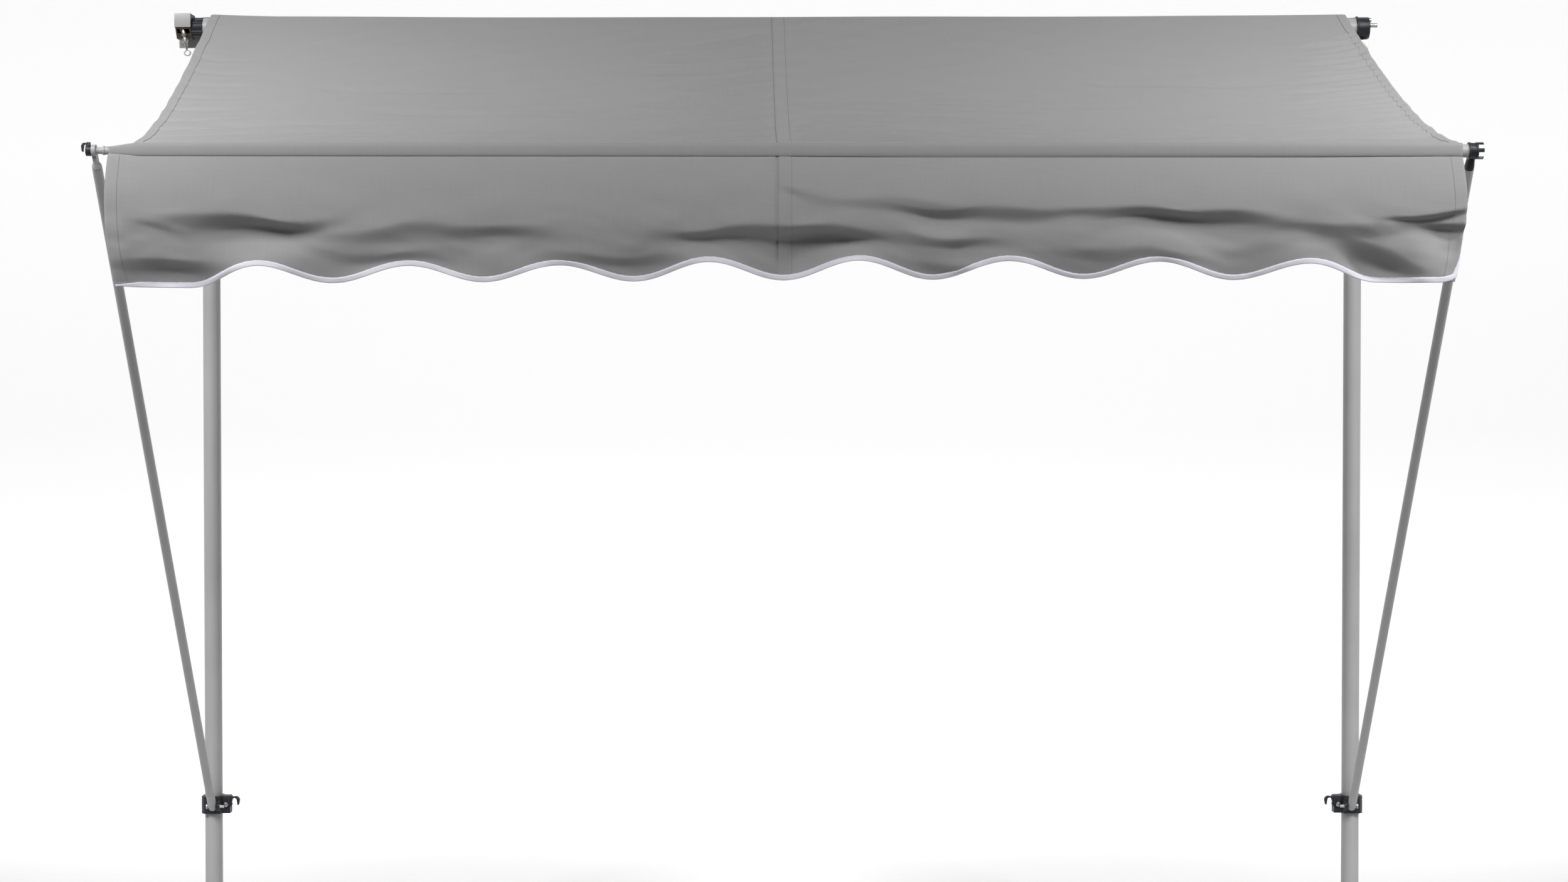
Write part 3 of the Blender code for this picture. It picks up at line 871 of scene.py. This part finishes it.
    def seam_relief(self, across: np.ndarray) -> np.ndarray:
        """The join of the two widths: a lapped band between two drawn-in rows of stitches.

        Args:
            across: places across, from the middle.

        Returns:
            How far it stands off the cloth, in metres.
        """
        left, right = self.seam_left, self.seam_left + self.seam_width
        relief = 0.0010 * smooth_rise(across, left - 0.001, left + 0.003)
        relief *= 1 - smooth_rise(across, right, right + 0.003)
        for line, depth in ((left, 0.0036), (right - 0.002, 0.0012)):
            relief = relief - depth * np.exp(-(((across - line) / 0.0026) ** 2))
        return relief

    def lift(self, across: np.ndarray, along: np.ndarray) -> np.ndarray:
        """Everything that stands off the smooth sheet: creases, seam, hems and slow waves.

        Args:
            across: places across, from the middle.
            along: metres down from the roll.

        Returns:
            The lift, in metres.
        """
        total = np.zeros_like(across)
        for crease in self.creases():
            total += crease.height(across, along)
        slow = 0.0016 * np.sin(3.1 * across + 1.3 * np.sin(5.0 * along)) * np.sin(4.4 * along + 0.8)
        total += slow + crumple(across, along, 0.0020)
        total += self.seam_relief(across)
        half = self.width / 2
        for side in (-1, 1):
            inner = half - self.hem
            total += 0.0007 * smooth_rise(side * across, inner - 0.002, inner + 0.001)
            total -= 0.0008 * np.exp(-(((side * across - inner - 0.003) / 0.0030) ** 2))
        ends = smooth_rise(along, 0.0, 0.05) * (1 - smooth_rise(along, 1.20, 1.245))
        return total * ends

    def points(self, across: np.ndarray, share: np.ndarray) -> np.ndarray:
        """The finished sheet's points.

        Args:
            across: places across, from the middle.
            share: places along, from 0 to 1.

        Returns:
            Points in the awning's frame.
        """
        base = self.surface(across, share)
        return base + self.lift(across, share * self.length)[..., None] * np.array(self.outward)

    def sheet(self) -> bpy.types.Object:
        """Builds the sheet.

        Returns:
            The canopy piece.
        """
        across = self.stations()
        share = np.linspace(0.0, 1.0, self.rows) ** 0.86
        wide, deep = np.meshgrid(across, share)
        places = np.stack([wide, deep * self.length, np.zeros_like(wide)], axis=-1)
        piece = self.pieces.grid(
            "canopy_cloth", self.points(wide, deep), self.pieces.finishes.made[Slot.CLOTH], places
        )
        thicken(piece, self.thickness)
        return piece

    def line(self, across: float, lift: float = 0.0006) -> tuple[np.ndarray, np.ndarray]:
        """A line down the sheet, for a row of stitches.

        Args:
            across: where it runs.
            lift: how far off the sheet's middle surface it lies.

        Returns:
            The line's points and outward directions.
        """
        share = np.linspace(0.005, 0.992, 260)
        path = self.points(np.full_like(share, across), share)
        path[:, 2] += lift
        return path, np.tile(np.array(self.outward), (len(share), 1))

    def stitching(self) -> bpy.types.Object:
        """The rows of stitches down the seam and the hems.

        Returns:
            The stitching piece.
        """
        row = StitchRow()
        inner = self.width / 2 - self.hem + 0.003
        rows = [self.seam_left, self.seam_left + self.seam_width - 0.002, -inner, inner]
        faint = StitchRow(width=0.00045)
        shapes = [(faint if place == rows[1] else row).solids(*self.line(place)) for place in rows]
        points, faces = gather(shapes)
        thread = self.pieces.finishes.thread
        return self.pieces.from_arrays("canopy_stitching", points, faces, thread, points.copy())

    def build(self) -> None:
        """Builds the canopy and its stitching, riding on the frame."""
        sheet = self.sheet()
        for piece in (sheet, self.stitching()):
            nodes = ("canopy_sheet",) if piece is sheet else ()
            self.pieces.finish_piece(piece, Body.FRAME, Slot.CLOTH, *nodes)
            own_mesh(piece)

    def winding(self) -> bpy.types.Object:
        """The turns of cloth left on the roller, with their edge spiralling at both ends.

        Returns:
            The roll piece.
        """
        low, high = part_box("cloth_roll")
        margin = 0.05
        x = np.concatenate([
            np.linspace(low.x, low.x + margin, 12, endpoint=False),
            np.linspace(low.x + margin, high.x - margin, 90, endpoint=False),
            np.linspace(high.x - margin, high.x, 12),
        ])
        turn = np.linspace(0, 2 * math.pi, 56, endpoint=False)
        wide, around = np.meshgrid(x, turn, indexing="ij")
        radius = self.roll_radius(wide) + 0.0004 * np.sin(3 * around + 9 * wide)
        body = self.ring(wide, radius, around)
        body_places = np.stack([wide, around * 0.03, np.zeros_like(wide)], axis=-1)
        left = self.end_turns(low.x, 1, turn)[::-1]
        right = self.end_turns(high.x, -1, turn)
        points = np.concatenate([left, body, right])
        places = np.concatenate([left * [1, 0, 0], body_places, right * [1, 0, 0]])
        return self.pieces.grid(
            "cloth_winding", points, self.pieces.finishes.made[Slot.CLOTH], places,
            closed_rows=True, closed_columns=True,
        )

    def ring(self, x: np.ndarray, radius: np.ndarray, turn: np.ndarray) -> np.ndarray:
        """Points round the roller's axis.

        Args:
            x: places along the axis.
            radius: distances from it.
            turn: angles round it.

        Returns:
            Points in the awning's frame.
        """
        y = self.roll.y + radius * np.cos(turn)
        return np.stack([x, y, self.roll.z + radius * np.sin(turn)], axis=-1)

    def end_turns(self, x: float, inward: int, turn: np.ndarray) -> np.ndarray:
        """The edges of the turns on one end of the roll, every other one a little deeper.

        Args:
            x: where the end is.
            inward: 1 at the left end, -1 at the right.
            turn: angles round the axis.

        Returns:
            A ring of points for each edge, from the outermost in.
        """
        outer = self.roll_radius(np.array([x]))[0]
        rings = []
        for number in range(1, self.end_rings + 1):
            radius = outer + (self.roll_core - outer) * number / self.end_rings
            place = np.full_like(turn, x + 0.0007 * (number % 2) * inward)
            rings.append(self.ring(place, radius, turn))
        return np.stack(rings)


@dataclass(frozen=True)
class Fold:
    """A soft fold in the hanging valance: the cloth tucks in under a line, then eases out again."""

    start: tuple[float, float]
    end: tuple[float, float]
    height: float
    depth: float
    ease: float = 0.072

    def push(self, x: np.ndarray, z: np.ndarray) -> np.ndarray:
        """How far the fold pushes the cloth back.

        Args:
            x: places across.
            z: heights.

        Returns:
            The push towards the posts, in metres.
        """
        share = (x - self.start[0]) / (self.end[0] - self.start[0])
        wander = 0.006 * np.sin(9.0 * x + 60.0 * self.height) + 0.003 * np.sin(31.0 * x + 5.0 * self.start[0])
        line = self.start[1] + (self.end[1] - self.start[1]) * share + wander
        uneven = 1.0 + 0.35 * np.sin(19.0 * x + 7.0 * self.end[0])
        below = (line - z) / (self.height * uneven)
        past = np.maximum(below - 1.0, 0.0) * self.height / self.ease
        tuck = smooth_rise(below, -1.0, 1.0) * np.exp(-(past**2))
        return self.depth * tuck * smooth_rise(share, 0.0, 0.42) * (1 - smooth_rise(share, 0.58, 1.0))


@dataclass
class Valance:
    """The pocket round the front bar and the scalloped flap that hangs from it, bound with white tape."""

    pieces: Pieces
    canopy: Canopy
    scallops: int = 9
    tape: float = 0.0125
    tape_thick: float = 0.0030
    thickness: float = 0.0006
    pocket: float = 0.0166
    flap_count: int = 92
    side_row: int = 72
    flat_length: float = 0.385
    curl: float = 0.022
    swell: float = 0.040

    def edge_height(self, x: np.ndarray) -> np.ndarray:
        """Height of the taped lower edge.

        Args:
            x: places across.

        Returns:
            The heights.
        """
        half = self.canopy.width / 2
        pitch = self.canopy.width / self.scallops
        trough = np.interp(x, [-1.45, -1.25, -0.96, -0.32, 0.0, 0.66, 1.0, 1.36], TROUGH_HEIGHTS)
        crest = np.interp(x, [-1.11, -0.48, -0.16, 0.15, 0.78, 1.10], CREST_HEIGHTS)
        wave = (1 + np.cos(2 * np.pi * (x + half) / pitch)) / 2
        ends = smooth_rise(half - np.abs(x), pitch * 0.42, pitch * 0.50)
        return trough + (crest - trough) * wave * ends + 0.002

    def folds(self) -> list[Fold]:
        """The soft folds of the flap.

        Returns:
            The folds.
        """
        return [
            Fold((-1.42, 1.905), (-1.27, 1.860), 0.009, 0.008),
            Fold((-1.36, 1.897), (-0.92, 1.892), 0.015, 0.041),
            Fold((-1.04, 1.872), (-0.36, 1.868), 0.019, 0.020),
            Fold((-0.34, 1.876), (0.28, 1.868), 0.014, 0.036),
            Fold((-0.06, 1.870), (0.24, 1.862), 0.012, 0.024),
            Fold((0.14, 1.862), (0.52, 1.854), 0.014, 0.020),
            Fold((-0.03, 1.975), (0.12, 1.915), 0.008, 0.009),
            Fold((0.04, 1.934), (0.46, 1.928), 0.014, 0.013),
            Fold((0.14, 1.922), (0.74, 1.912), 0.014, 0.024),
            Fold((0.58, 1.916), (1.14, 1.900), 0.012, 0.036),
            Fold((1.02, 1.893), (1.38, 1.872), 0.014, 0.018),
            Fold((1.26, 1.902), (1.50, 1.914), 0.007, 0.022),
            Fold((1.34, 1.895), (1.50, 1.866), 0.010, 0.027),
            Fold((1.16, 1.868), (1.40, 1.776), 0.018, 0.035, 0.030),
            Fold((-1.50, 1.802), (-1.12, 1.792), 0.020, 0.027),
            Fold((-1.08, 1.828), (-0.62, 1.822), 0.014, 0.011),
            Fold((-0.60, 1.815), (-0.14, 1.822), 0.014, 0.012),
            Fold((0.26, 1.812), (0.44, 1.790), 0.012, 0.014),
            Fold((0.50, 1.830), (0.96, 1.815), 0.014, 0.012),
        ]

    def hang(self, x: np.ndarray, z: np.ndarray) -> np.ndarray:
        """The flap's depth: plumb below the seam, swelling and folding lower down.

        Args:
            x: places across.
            z: heights.

        Returns:
            The y of each point.
        """
        seam = self.seam_height(x)
        down = np.clip((seam - z) / 0.27, 0.0, 1.2)
        swell = self.swell * (0.7 + 0.3 * np.sin(2.2 * x + 0.5))
        y = self.canopy.bar.y - 0.0128 - swell * np.sin(np.pi * np.clip(down, 0, 1.1) ** 0.85)
        for fold in self.folds():
            y = y + fold.push(x, z)
        pitch = self.canopy.width / self.scallops
        phase = 2 * np.pi * (x + self.canopy.width / 2) / pitch
        curl = (1 - np.cos(phase + 0.35 * np.sin(4.0 * x))) / 2
        y = y + self.curl * curl * smooth_rise(down, 0.58, 1.08)
        y = y + crumple(x, z, 0.0021) * smooth_rise(down, 0.02, 0.5)
        y = y + crumple(2.6 * x + 0.4, 2.6 * z, 0.0011) * smooth_rise(down, 0.25, 0.6)
        plain = 1 - smooth_rise(down, 0.82, 0.96)
        return y - 1.7 * plain * self.canopy.seam_relief(x - self.canopy.front_shift)

    def seam_height(self, x: np.ndarray) -> np.ndarray:
        """Height of the seam under the pocket.

        Args:
            x: places across.

        Returns:
            The heights.
        """
        return self.canopy.bar.z + np.interp(
            x, [-1.45, -0.5, 0.0, 0.34, 1.14, 1.41], [-0.0110, -0.0125, -0.0135, -0.0178, -0.0160, -0.0118]
        )

    def section(self, x: np.ndarray, count: int) -> np.ndarray:
        """The pocket's cross-section at each place across: up the back, over the top and down the front.

        Args:
            x: places across.
            count: points in the section.

        Returns:
            A (count, columns, 3) array of points.
        """
        bar = self.canopy.bar
        relief = self.canopy.seam_relief(x - self.canopy.front_shift)
        radius = self.pocket - self.canopy.front_drop(x) + 0.4 * relief
        rows = []
        for angle in np.linspace(math.radians(-62), math.radians(232), count):
            back, up = math.cos(angle), math.sin(angle)
            if back < 0:
                back, up = -(abs(back) ** 0.42), math.copysign(abs(up) ** 0.85, up)
            rows.append(np.stack([x, bar.y + radius * back, bar.z + radius * up], axis=-1))
        return np.stack(rows)

    def flap_rows(self, x: np.ndarray, count: int) -> np.ndarray:
        """The flap's points, from the seam to the taped edge.

        Args:
            x: places across.
            count: rows of points.

        Returns:
            A (count, columns, 3) array of points.
        """
        seam = self.seam_height(x)
        edge = self.edge_height(x) + 0.003
        rows = []
        for share in np.linspace(0.0, 1.0, count):
            z = seam + (edge - seam) * share
            swell = math.sin(math.pi * share)
            left = (0.013 * share**3 - 0.004 * swell) * (1 - smooth_rise(x, -1.45, -1.1))
            right = (0.008 * swell - 0.014 * share**3) * smooth_rise(x, 1.1, 1.45)
            rows.append(np.stack([x + left + right, self.hang(x, z), z], axis=-1))
        return np.stack(rows)

    def cloth(self) -> bpy.types.Object:
        """The pocket and the flap as one sheet.

        Returns:
            The valance piece.
        """
        x = self.canopy.stations() + self.canopy.front_shift
        pocket = self.section(x, 26)
        flap = self.flap_rows(x, self.flap_count)
        seam = flap[0]
        tuck = seam.copy()
        tuck[:, 1] += 0.0016
        tuck[:, 2] += 0.0012
        points = np.concatenate([tuck[None], pocket, tuck[None], flap])
        down = np.concatenate([[0.0], np.cumsum(np.linalg.norm(np.diff(points[:, 40], axis=0), axis=1))])
        across = np.tile(x, (len(points), 1))
        places = np.stack([across, np.tile(down[:, None], (1, len(x))), 0 * across], axis=-1)
        piece = self.pieces.grid("valance_cloth", points, self.pieces.finishes.made[Slot.CLOTH], places)
        thicken(piece, self.thickness)
        return piece

    def edge_path(self) -> tuple[np.ndarray, np.ndarray]:
        """The taped edge: along the scallops, then up the right side for a hand's breadth.

        Returns:
            The path and the flap's outward directions on it.
        """
        half = self.canopy.width / 2
        x = np.linspace(-half, half, 560) + self.canopy.front_shift
        flap = self.flap_rows(x, self.flap_count)
        bottom = flap[-1]
        side = flap[self.side_row:-1, -1][::-1]
        corner = bottom[-1] + np.array([0.0, 0.0, 0.006])
        path = np.concatenate([bottom[:-4], corner[None] + [[0.001, 0.0, 0.0]], side[2:]])
        rise = flap[-4, :-4] - bottom[:-4]
        normal = np.tile(np.array([0.0, -1.0, 0.0]), (len(path), 1))
        normal[: len(rise)] = np.stack([np.zeros(len(rise)), -rise[:, 2], rise[:, 1]], axis=1)
        normal /= np.linalg.norm(normal, axis=1, keepdims=True)
        for _ in range(3):
            for values in (path, normal):
                values[1:-1] = (values[:-2] + 2 * values[1:-1] + values[2:]) / 4
        return path, normal

    def fullness(self, path: np.ndarray) -> np.ndarray:
        """How full the tape is: it thins out at the left end and at the top of the right side.

        Args:
            path: the taped edge.

        Returns:
            A factor for each point of the path.
        """
        along = cumulative(path)
        left = 0.35 + 0.65 * smooth_rise(along, 0.0, 0.06)
        right = 0.12 + 0.88 * smooth_rise(along[-1] - along, 0.0, 0.055)
        return left * right

    def binding(self) -> bpy.types.Object:
        """The white tape folded over the edge.

        Returns:
            The tape piece.
        """
        path, normal = self.edge_path()
        thick, tall = self.tape_thick / 2, self.tape
        outer = [(0.8, 0.80), (1.0, 0.45), (0.95, 0.0), (0.5, -0.16)]
        section = [(-thick * out, tall * up) for out, up in outer]
        section += [(thick * out, tall * up) for out, up in reversed(outer)]
        section += [(0.0004, tall * 0.80), (-0.0004, tall * 0.80)]
        flipped = [(first, -second) for first, second in section]
        points = sweep(path, normal, flipped)
        along = cumulative(path)
        pucker = 1 + 0.035 * np.sin(along * 390 + 2 * np.sin(along * 31)) * np.sin(along * 57)
        full = (self.fullness(path) * pucker)[:, None, None]
        points = path[:, None] + (points - path[:, None]) * full
        round_ = np.array([second for _, second in section])
        lengthwise = np.tile(along[:, None], (1, len(section)))
        crosswise = np.tile(round_, (len(path), 1))
        places = np.stack([lengthwise, crosswise, np.zeros(points.shape[:2])], axis=-1)
        piece = self.pieces.grid(
            "valance_binding", points, self.pieces.finishes.made[Slot.TAPE], places, closed_columns=True
        )
        shape = bmesh.new()
        shape.from_mesh(piece.data)
        bmesh.ops.holes_fill(shape, edges=[edge for edge in shape.edges if edge.is_boundary])
        bmesh.ops.recalc_face_normals(shape, faces=shape.faces)
        shape.to_mesh(piece.data)
        shape.free()
        return piece

    def stitching(self) -> tuple[bpy.types.Object, bpy.types.Object]:
        """Grey stitches on the cloth and pale ones on the tape.

        Returns:
            The two stitching pieces.
        """
        row = StitchRow()
        half = self.canopy.width / 2
        shapes = []
        for line in (-half + self.canopy.hem, half - self.canopy.hem, self.canopy.seam_left,
                     self.canopy.seam_left + self.canopy.seam_width - 0.002):
            x = np.array([line + self.canopy.front_shift])
            path = self.flap_rows(x, self.flap_count)[:-2, 0]
            path[:, 1] -= 0.0005
            shapes.append(row.solids(path, np.tile(np.array([0.0, -1.0, 0.0]), (len(path), 1))))
        points, faces = gather(shapes)
        finishes = self.pieces.finishes
        grey = self.pieces.from_arrays("valance_stitching", points, faces, finishes.thread, points.copy())
        path, normal = self.edge_path()
        up = np.stack([np.zeros(len(path)), normal[:, 2], -normal[:, 1]], axis=1)
        path = path + normal * self.tape_thick * 0.56 + up * self.tape * 0.60
        points, faces = gather([StitchRow(pitch=0.0040, width=0.0005).solids(path[:556], normal[:556])])
        pale = self.pieces.from_arrays("binding_stitching", points, faces, finishes.tape_thread, points.copy())
        return grey, pale

    def build(self) -> None:
        """Builds the valance on the front bar."""
        cloth = self.cloth()
        self.pieces.finish_piece(cloth, Body.BAR, Slot.CLOTH, "valance")
        binding = self.binding()
        self.pieces.finish_piece(binding, Body.BAR, Slot.TAPE, "valance_piping")
        grey, pale = self.stitching()
        self.pieces.finish_piece(grey, Body.BAR, Slot.CLOTH)
        self.pieces.finish_piece(pale, Body.BAR, Slot.TAPE)


# Frame.


@dataclass
class FrontBar:
    """The front bar, drawn down to a neck at its left end, and the pin that stands in the neck."""

    pieces: Pieces
    sides: int = 48
    wall: float = 0.0015
    neck: float = 0.0090
    collar: float = 0.0098
    pin: float = 0.0075

    def turned(self, name: str, profile: Sequence[tuple[float, float]], axis: Vector) -> bpy.types.Object:
        """A shape turned about the bar's axis.

        Args:
            name: the piece's name.
            profile: its (x, radius) points; the last joins the first.
            axis: a point of the axis.

        Returns:
            The piece.
        """
        turn = np.linspace(0, 2 * math.pi, self.sides, endpoint=False)
        rows = [
            [np.full_like(turn, x), axis.y + radius * np.cos(turn), axis.z + radius * np.sin(turn)]
            for x, radius in profile
        ]
        piece = self.pieces.grid(
            name,
            np.array(rows).transpose(0, 2, 1),
            self.pieces.finishes.made[Slot.PAINT],
            closed_rows=True,
            closed_columns=True,
        )
        shape = bmesh.new()
        shape.from_mesh(piece.data)
        bmesh.ops.recalc_face_normals(shape, faces=shape.faces)
        shape.to_mesh(piece.data)
        shape.free()
        piece.data.set_sharp_from_angle(angle=math.radians(35))
        return piece

    def build(self) -> None:
        """Builds the bar and its pin in place of the plain ones."""
        low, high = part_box("front_bar_tube")
        radius = (high.z - low.z) / 2
        axis = (low + high) / 2
        outer = [(low.x, self.neck), (low.x + 0.016, self.neck), (low.x + 0.030, self.neck + 0.0012)]
        outer += [(low.x + 0.060, radius - 0.0008), (low.x + 0.072, radius), (high.x - 0.0006, radius)]
        outer += [(high.x, radius - 0.0006)]
        inner = [(x, size - self.wall) for x, size in reversed(outer[:-2])]
        tube = self.turned("front_bar", [*outer, (high.x, radius - self.wall), *inner], axis)
        self.pieces.finish_piece(tube, Body.BAR, Slot.PAINT, "front_bar_tube")
        pin_low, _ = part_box("left_bar_pin")
        bore = self.neck - self.wall - 0.0003
        profile = [(pin_low.x, 0.0004), (pin_low.x, self.pin - 0.0008), (pin_low.x + 0.0008, self.pin)]
        profile += [(low.x - 0.0054, self.pin), (low.x - 0.0050, self.collar - 0.0005)]
        profile += [(low.x - 0.0045, self.collar), (low.x - 0.0004, self.collar), (low.x - 0.0004, bore)]
        profile += [(low.x + 0.030, bore), (low.x + 0.030, 0.0004)]
        self.pieces.finish_piece(self.turned("bar_pin", profile, axis), Body.BAR, Slot.PAINT, "left_bar_pin")


@dataclass
class Metalwork:
    """The carried-over tubes, brackets and fittings, softened at their edges and finished."""

    pieces: Pieces
    bevel_width: float = 0.0006
    weld_distance: float = 0.00001
    bevel_angle: float = 38.0
    sharp_angle: float = 40.0

    def slots(self) -> dict[str, Slot]:
        """Which slot each node has in the record."""
        return {part["node"]: Slot(part["material_slot"]) for part in frame["record"]["subparts"]}

    def dress(self) -> None:
        """Gives each carried-over node its finish, welded normals and a small bevel."""
        for name, slot in self.slots().items():
            node = frame["nodes"][name]
            node.data.materials.clear()
            node.data.materials.append(self.pieces.finishes.made[slot])
            if node.hide_render:
                continue
            node.data.shade_smooth()
            weld = node.modifiers.new("weld", "WELD")
            weld.merge_threshold = self.weld_distance
            if not name.endswith("_tube"):
                bevel = node.modifiers.new("edge", "BEVEL")
                bevel.width = self.bevel_width
                bevel.segments = 2
                bevel.limit_method = "ANGLE"
                bevel.angle_limit = math.radians(self.bevel_angle)
            split = node.modifiers.new("sharp edges", "EDGE_SPLIT")
            split.split_angle = math.radians(self.sharp_angle)
            LOG.info("%s dressed in %s", name, slot.value)


@dataclass
class Stage:
    """The pale floor, the soft light and the camera."""

    lens: float = 64.5
    place: tuple[float, float, float] = (-0.016, -7.313, 1.559)
    pitch: float = 1.25
    turn: float = -0.16
    room: float = 0.10
    front_power: float = 50.0
    side_power: float = 12.5

    def floor(self) -> None:
        """A pale floor that curves up far behind the awning; it glows with painted light, rising from nothing
        at y 0.2 m to full at y 2.6 m, though it is no lamp.
        """
        shape = bmesh.new()
        rows = []
        for y, z in ((-30.0, 0.0), (6.0, 0.0), (9.0, 0.25), (11.0, 1.2), (12.0, 3.0), (12.2, 30.0)):
            rows.append([shape.verts.new((x, y, z)) for x in (-30.0, 30.0)])
        for low, high in zip(rows, rows[1:]):
            shape.faces.new((low[0], low[1], high[1], high[0]))
        mesh = bpy.data.meshes.new("studio_floor")
        shape.to_mesh(mesh)
        shape.free()
        mesh.shade_smooth()
        bench = Bench("pale studio floor")
        tone = bench.mix(bench.noise(bench.place(), 0.7, 3.0), (0.78, 0.78, 0.78), (0.80, 0.80, 0.80))
        bench.feed(bench.shader.inputs["Base Color"], tone)
        bench.shader.inputs["Roughness"].default_value = 0.9
        parts = bench.add("ShaderNodeSeparateXYZ")
        bench.feed(parts.inputs[0], bench.place())
        # Painted light: the floor and its curve glow white, from nothing at y 0.2 m to strength 0.72 from y
        # 2.6 m back, though they are no lamp.
        bench.shader.inputs["Emission Color"].default_value = (1.0, 1.0, 1.0, 1.0)
        painted_floor_glow = bench.span(parts.outputs[1], 0.2, 2.6, 0.0, 0.72)
        bench.feed(bench.shader.inputs["Emission Strength"], painted_floor_glow)
        mesh.materials.append(bench.material)
        floor = bpy.data.objects.new("studio_floor", mesh)
        bpy.context.scene.collection.objects.link(floor)

    def lamp(
        self,
        name: str,
        place: Sequence[float],
        target: Sequence[float],
        size: tuple[float, float],
        power: float,
        spread: float,
    ) -> None:
        """One soft rectangular light.

        Args:
            name: its name.
            place: where it hangs.
            target: what it faces.
            size: its width and height, in metres.
            power: in watts.
            spread: how wide its light opens, in degrees.
        """
        data = bpy.data.lights.new(name, "AREA")
        data.shape = "RECTANGLE"
        data.size, data.size_y = size
        data.energy = power
        data.spread = math.radians(spread)
        lamp = bpy.data.objects.new(name, data)
        lamp.location = place
        aim = Vector(target) - Vector(place)
        lamp.rotation_euler = aim.to_track_quat("-Z", "Y").to_euler()
        bpy.context.scene.collection.objects.link(lamp)

    def light(self) -> None:
        """A dim bright-walled room, a wide lamp high in front and a narrow one outboard of each post."""
        world = bpy.data.worlds.new("studio")
        world.use_nodes = True
        world.node_tree.nodes["Background"].inputs["Color"].default_value = (1.0, 1.0, 1.0, 1.0)
        world.node_tree.nodes["Background"].inputs["Strength"].default_value = self.room
        bpy.context.scene.world = world
        bpy.context.scene.view_settings.view_transform = "Standard"
        self.lamp("front_lamp", (0.0, -7.2, 6.5), (0.0, -0.7, 2.05), (6.5, 2.0), self.front_power, 44.0)
        for side in (-1, 1):
            place = (side * 3.9, -3.5, 5.0)
            post = (side * 1.48, 0.0, 1.1)
            self.lamp(f"side_lamp_{side}", place, post, (0.9, 0.9), self.side_power, 40.0)

    def camera(self) -> None:
        """The camera, a little above the valance's lower edge, looking almost level."""
        data = bpy.data.cameras.new("camera")
        data.sensor_width = 36.0
        data.lens = self.lens
        camera = bpy.data.objects.new("camera", data)
        camera.location = self.place
        camera.rotation_euler = (math.radians(90.0 - self.pitch), 0.0, math.radians(self.turn))
        bpy.context.scene.collection.objects.link(camera)
        bpy.context.scene.camera = camera

    def build(self) -> None:
        """Sets the stage."""
        self.floor()
        self.light()
        self.camera()


def main() -> None:
    """Builds the awning's looks in order."""
    logging.basicConfig(level=logging.INFO, format="%(name)s: %(message)s")
    Stage().build()
    finishes = Finishes().build()
    pieces = Pieces(finishes)
    canopy = Canopy(pieces)
    pieces.finish_piece(canopy.winding(), Body.ROLLER, Slot.CLOTH, "cloth_roll")
    canopy.build()
    Valance(pieces, canopy).build()
    FrontBar(pieces).build()
    Metalwork(pieces).dress()


if __name__ == "__main__":
    main()
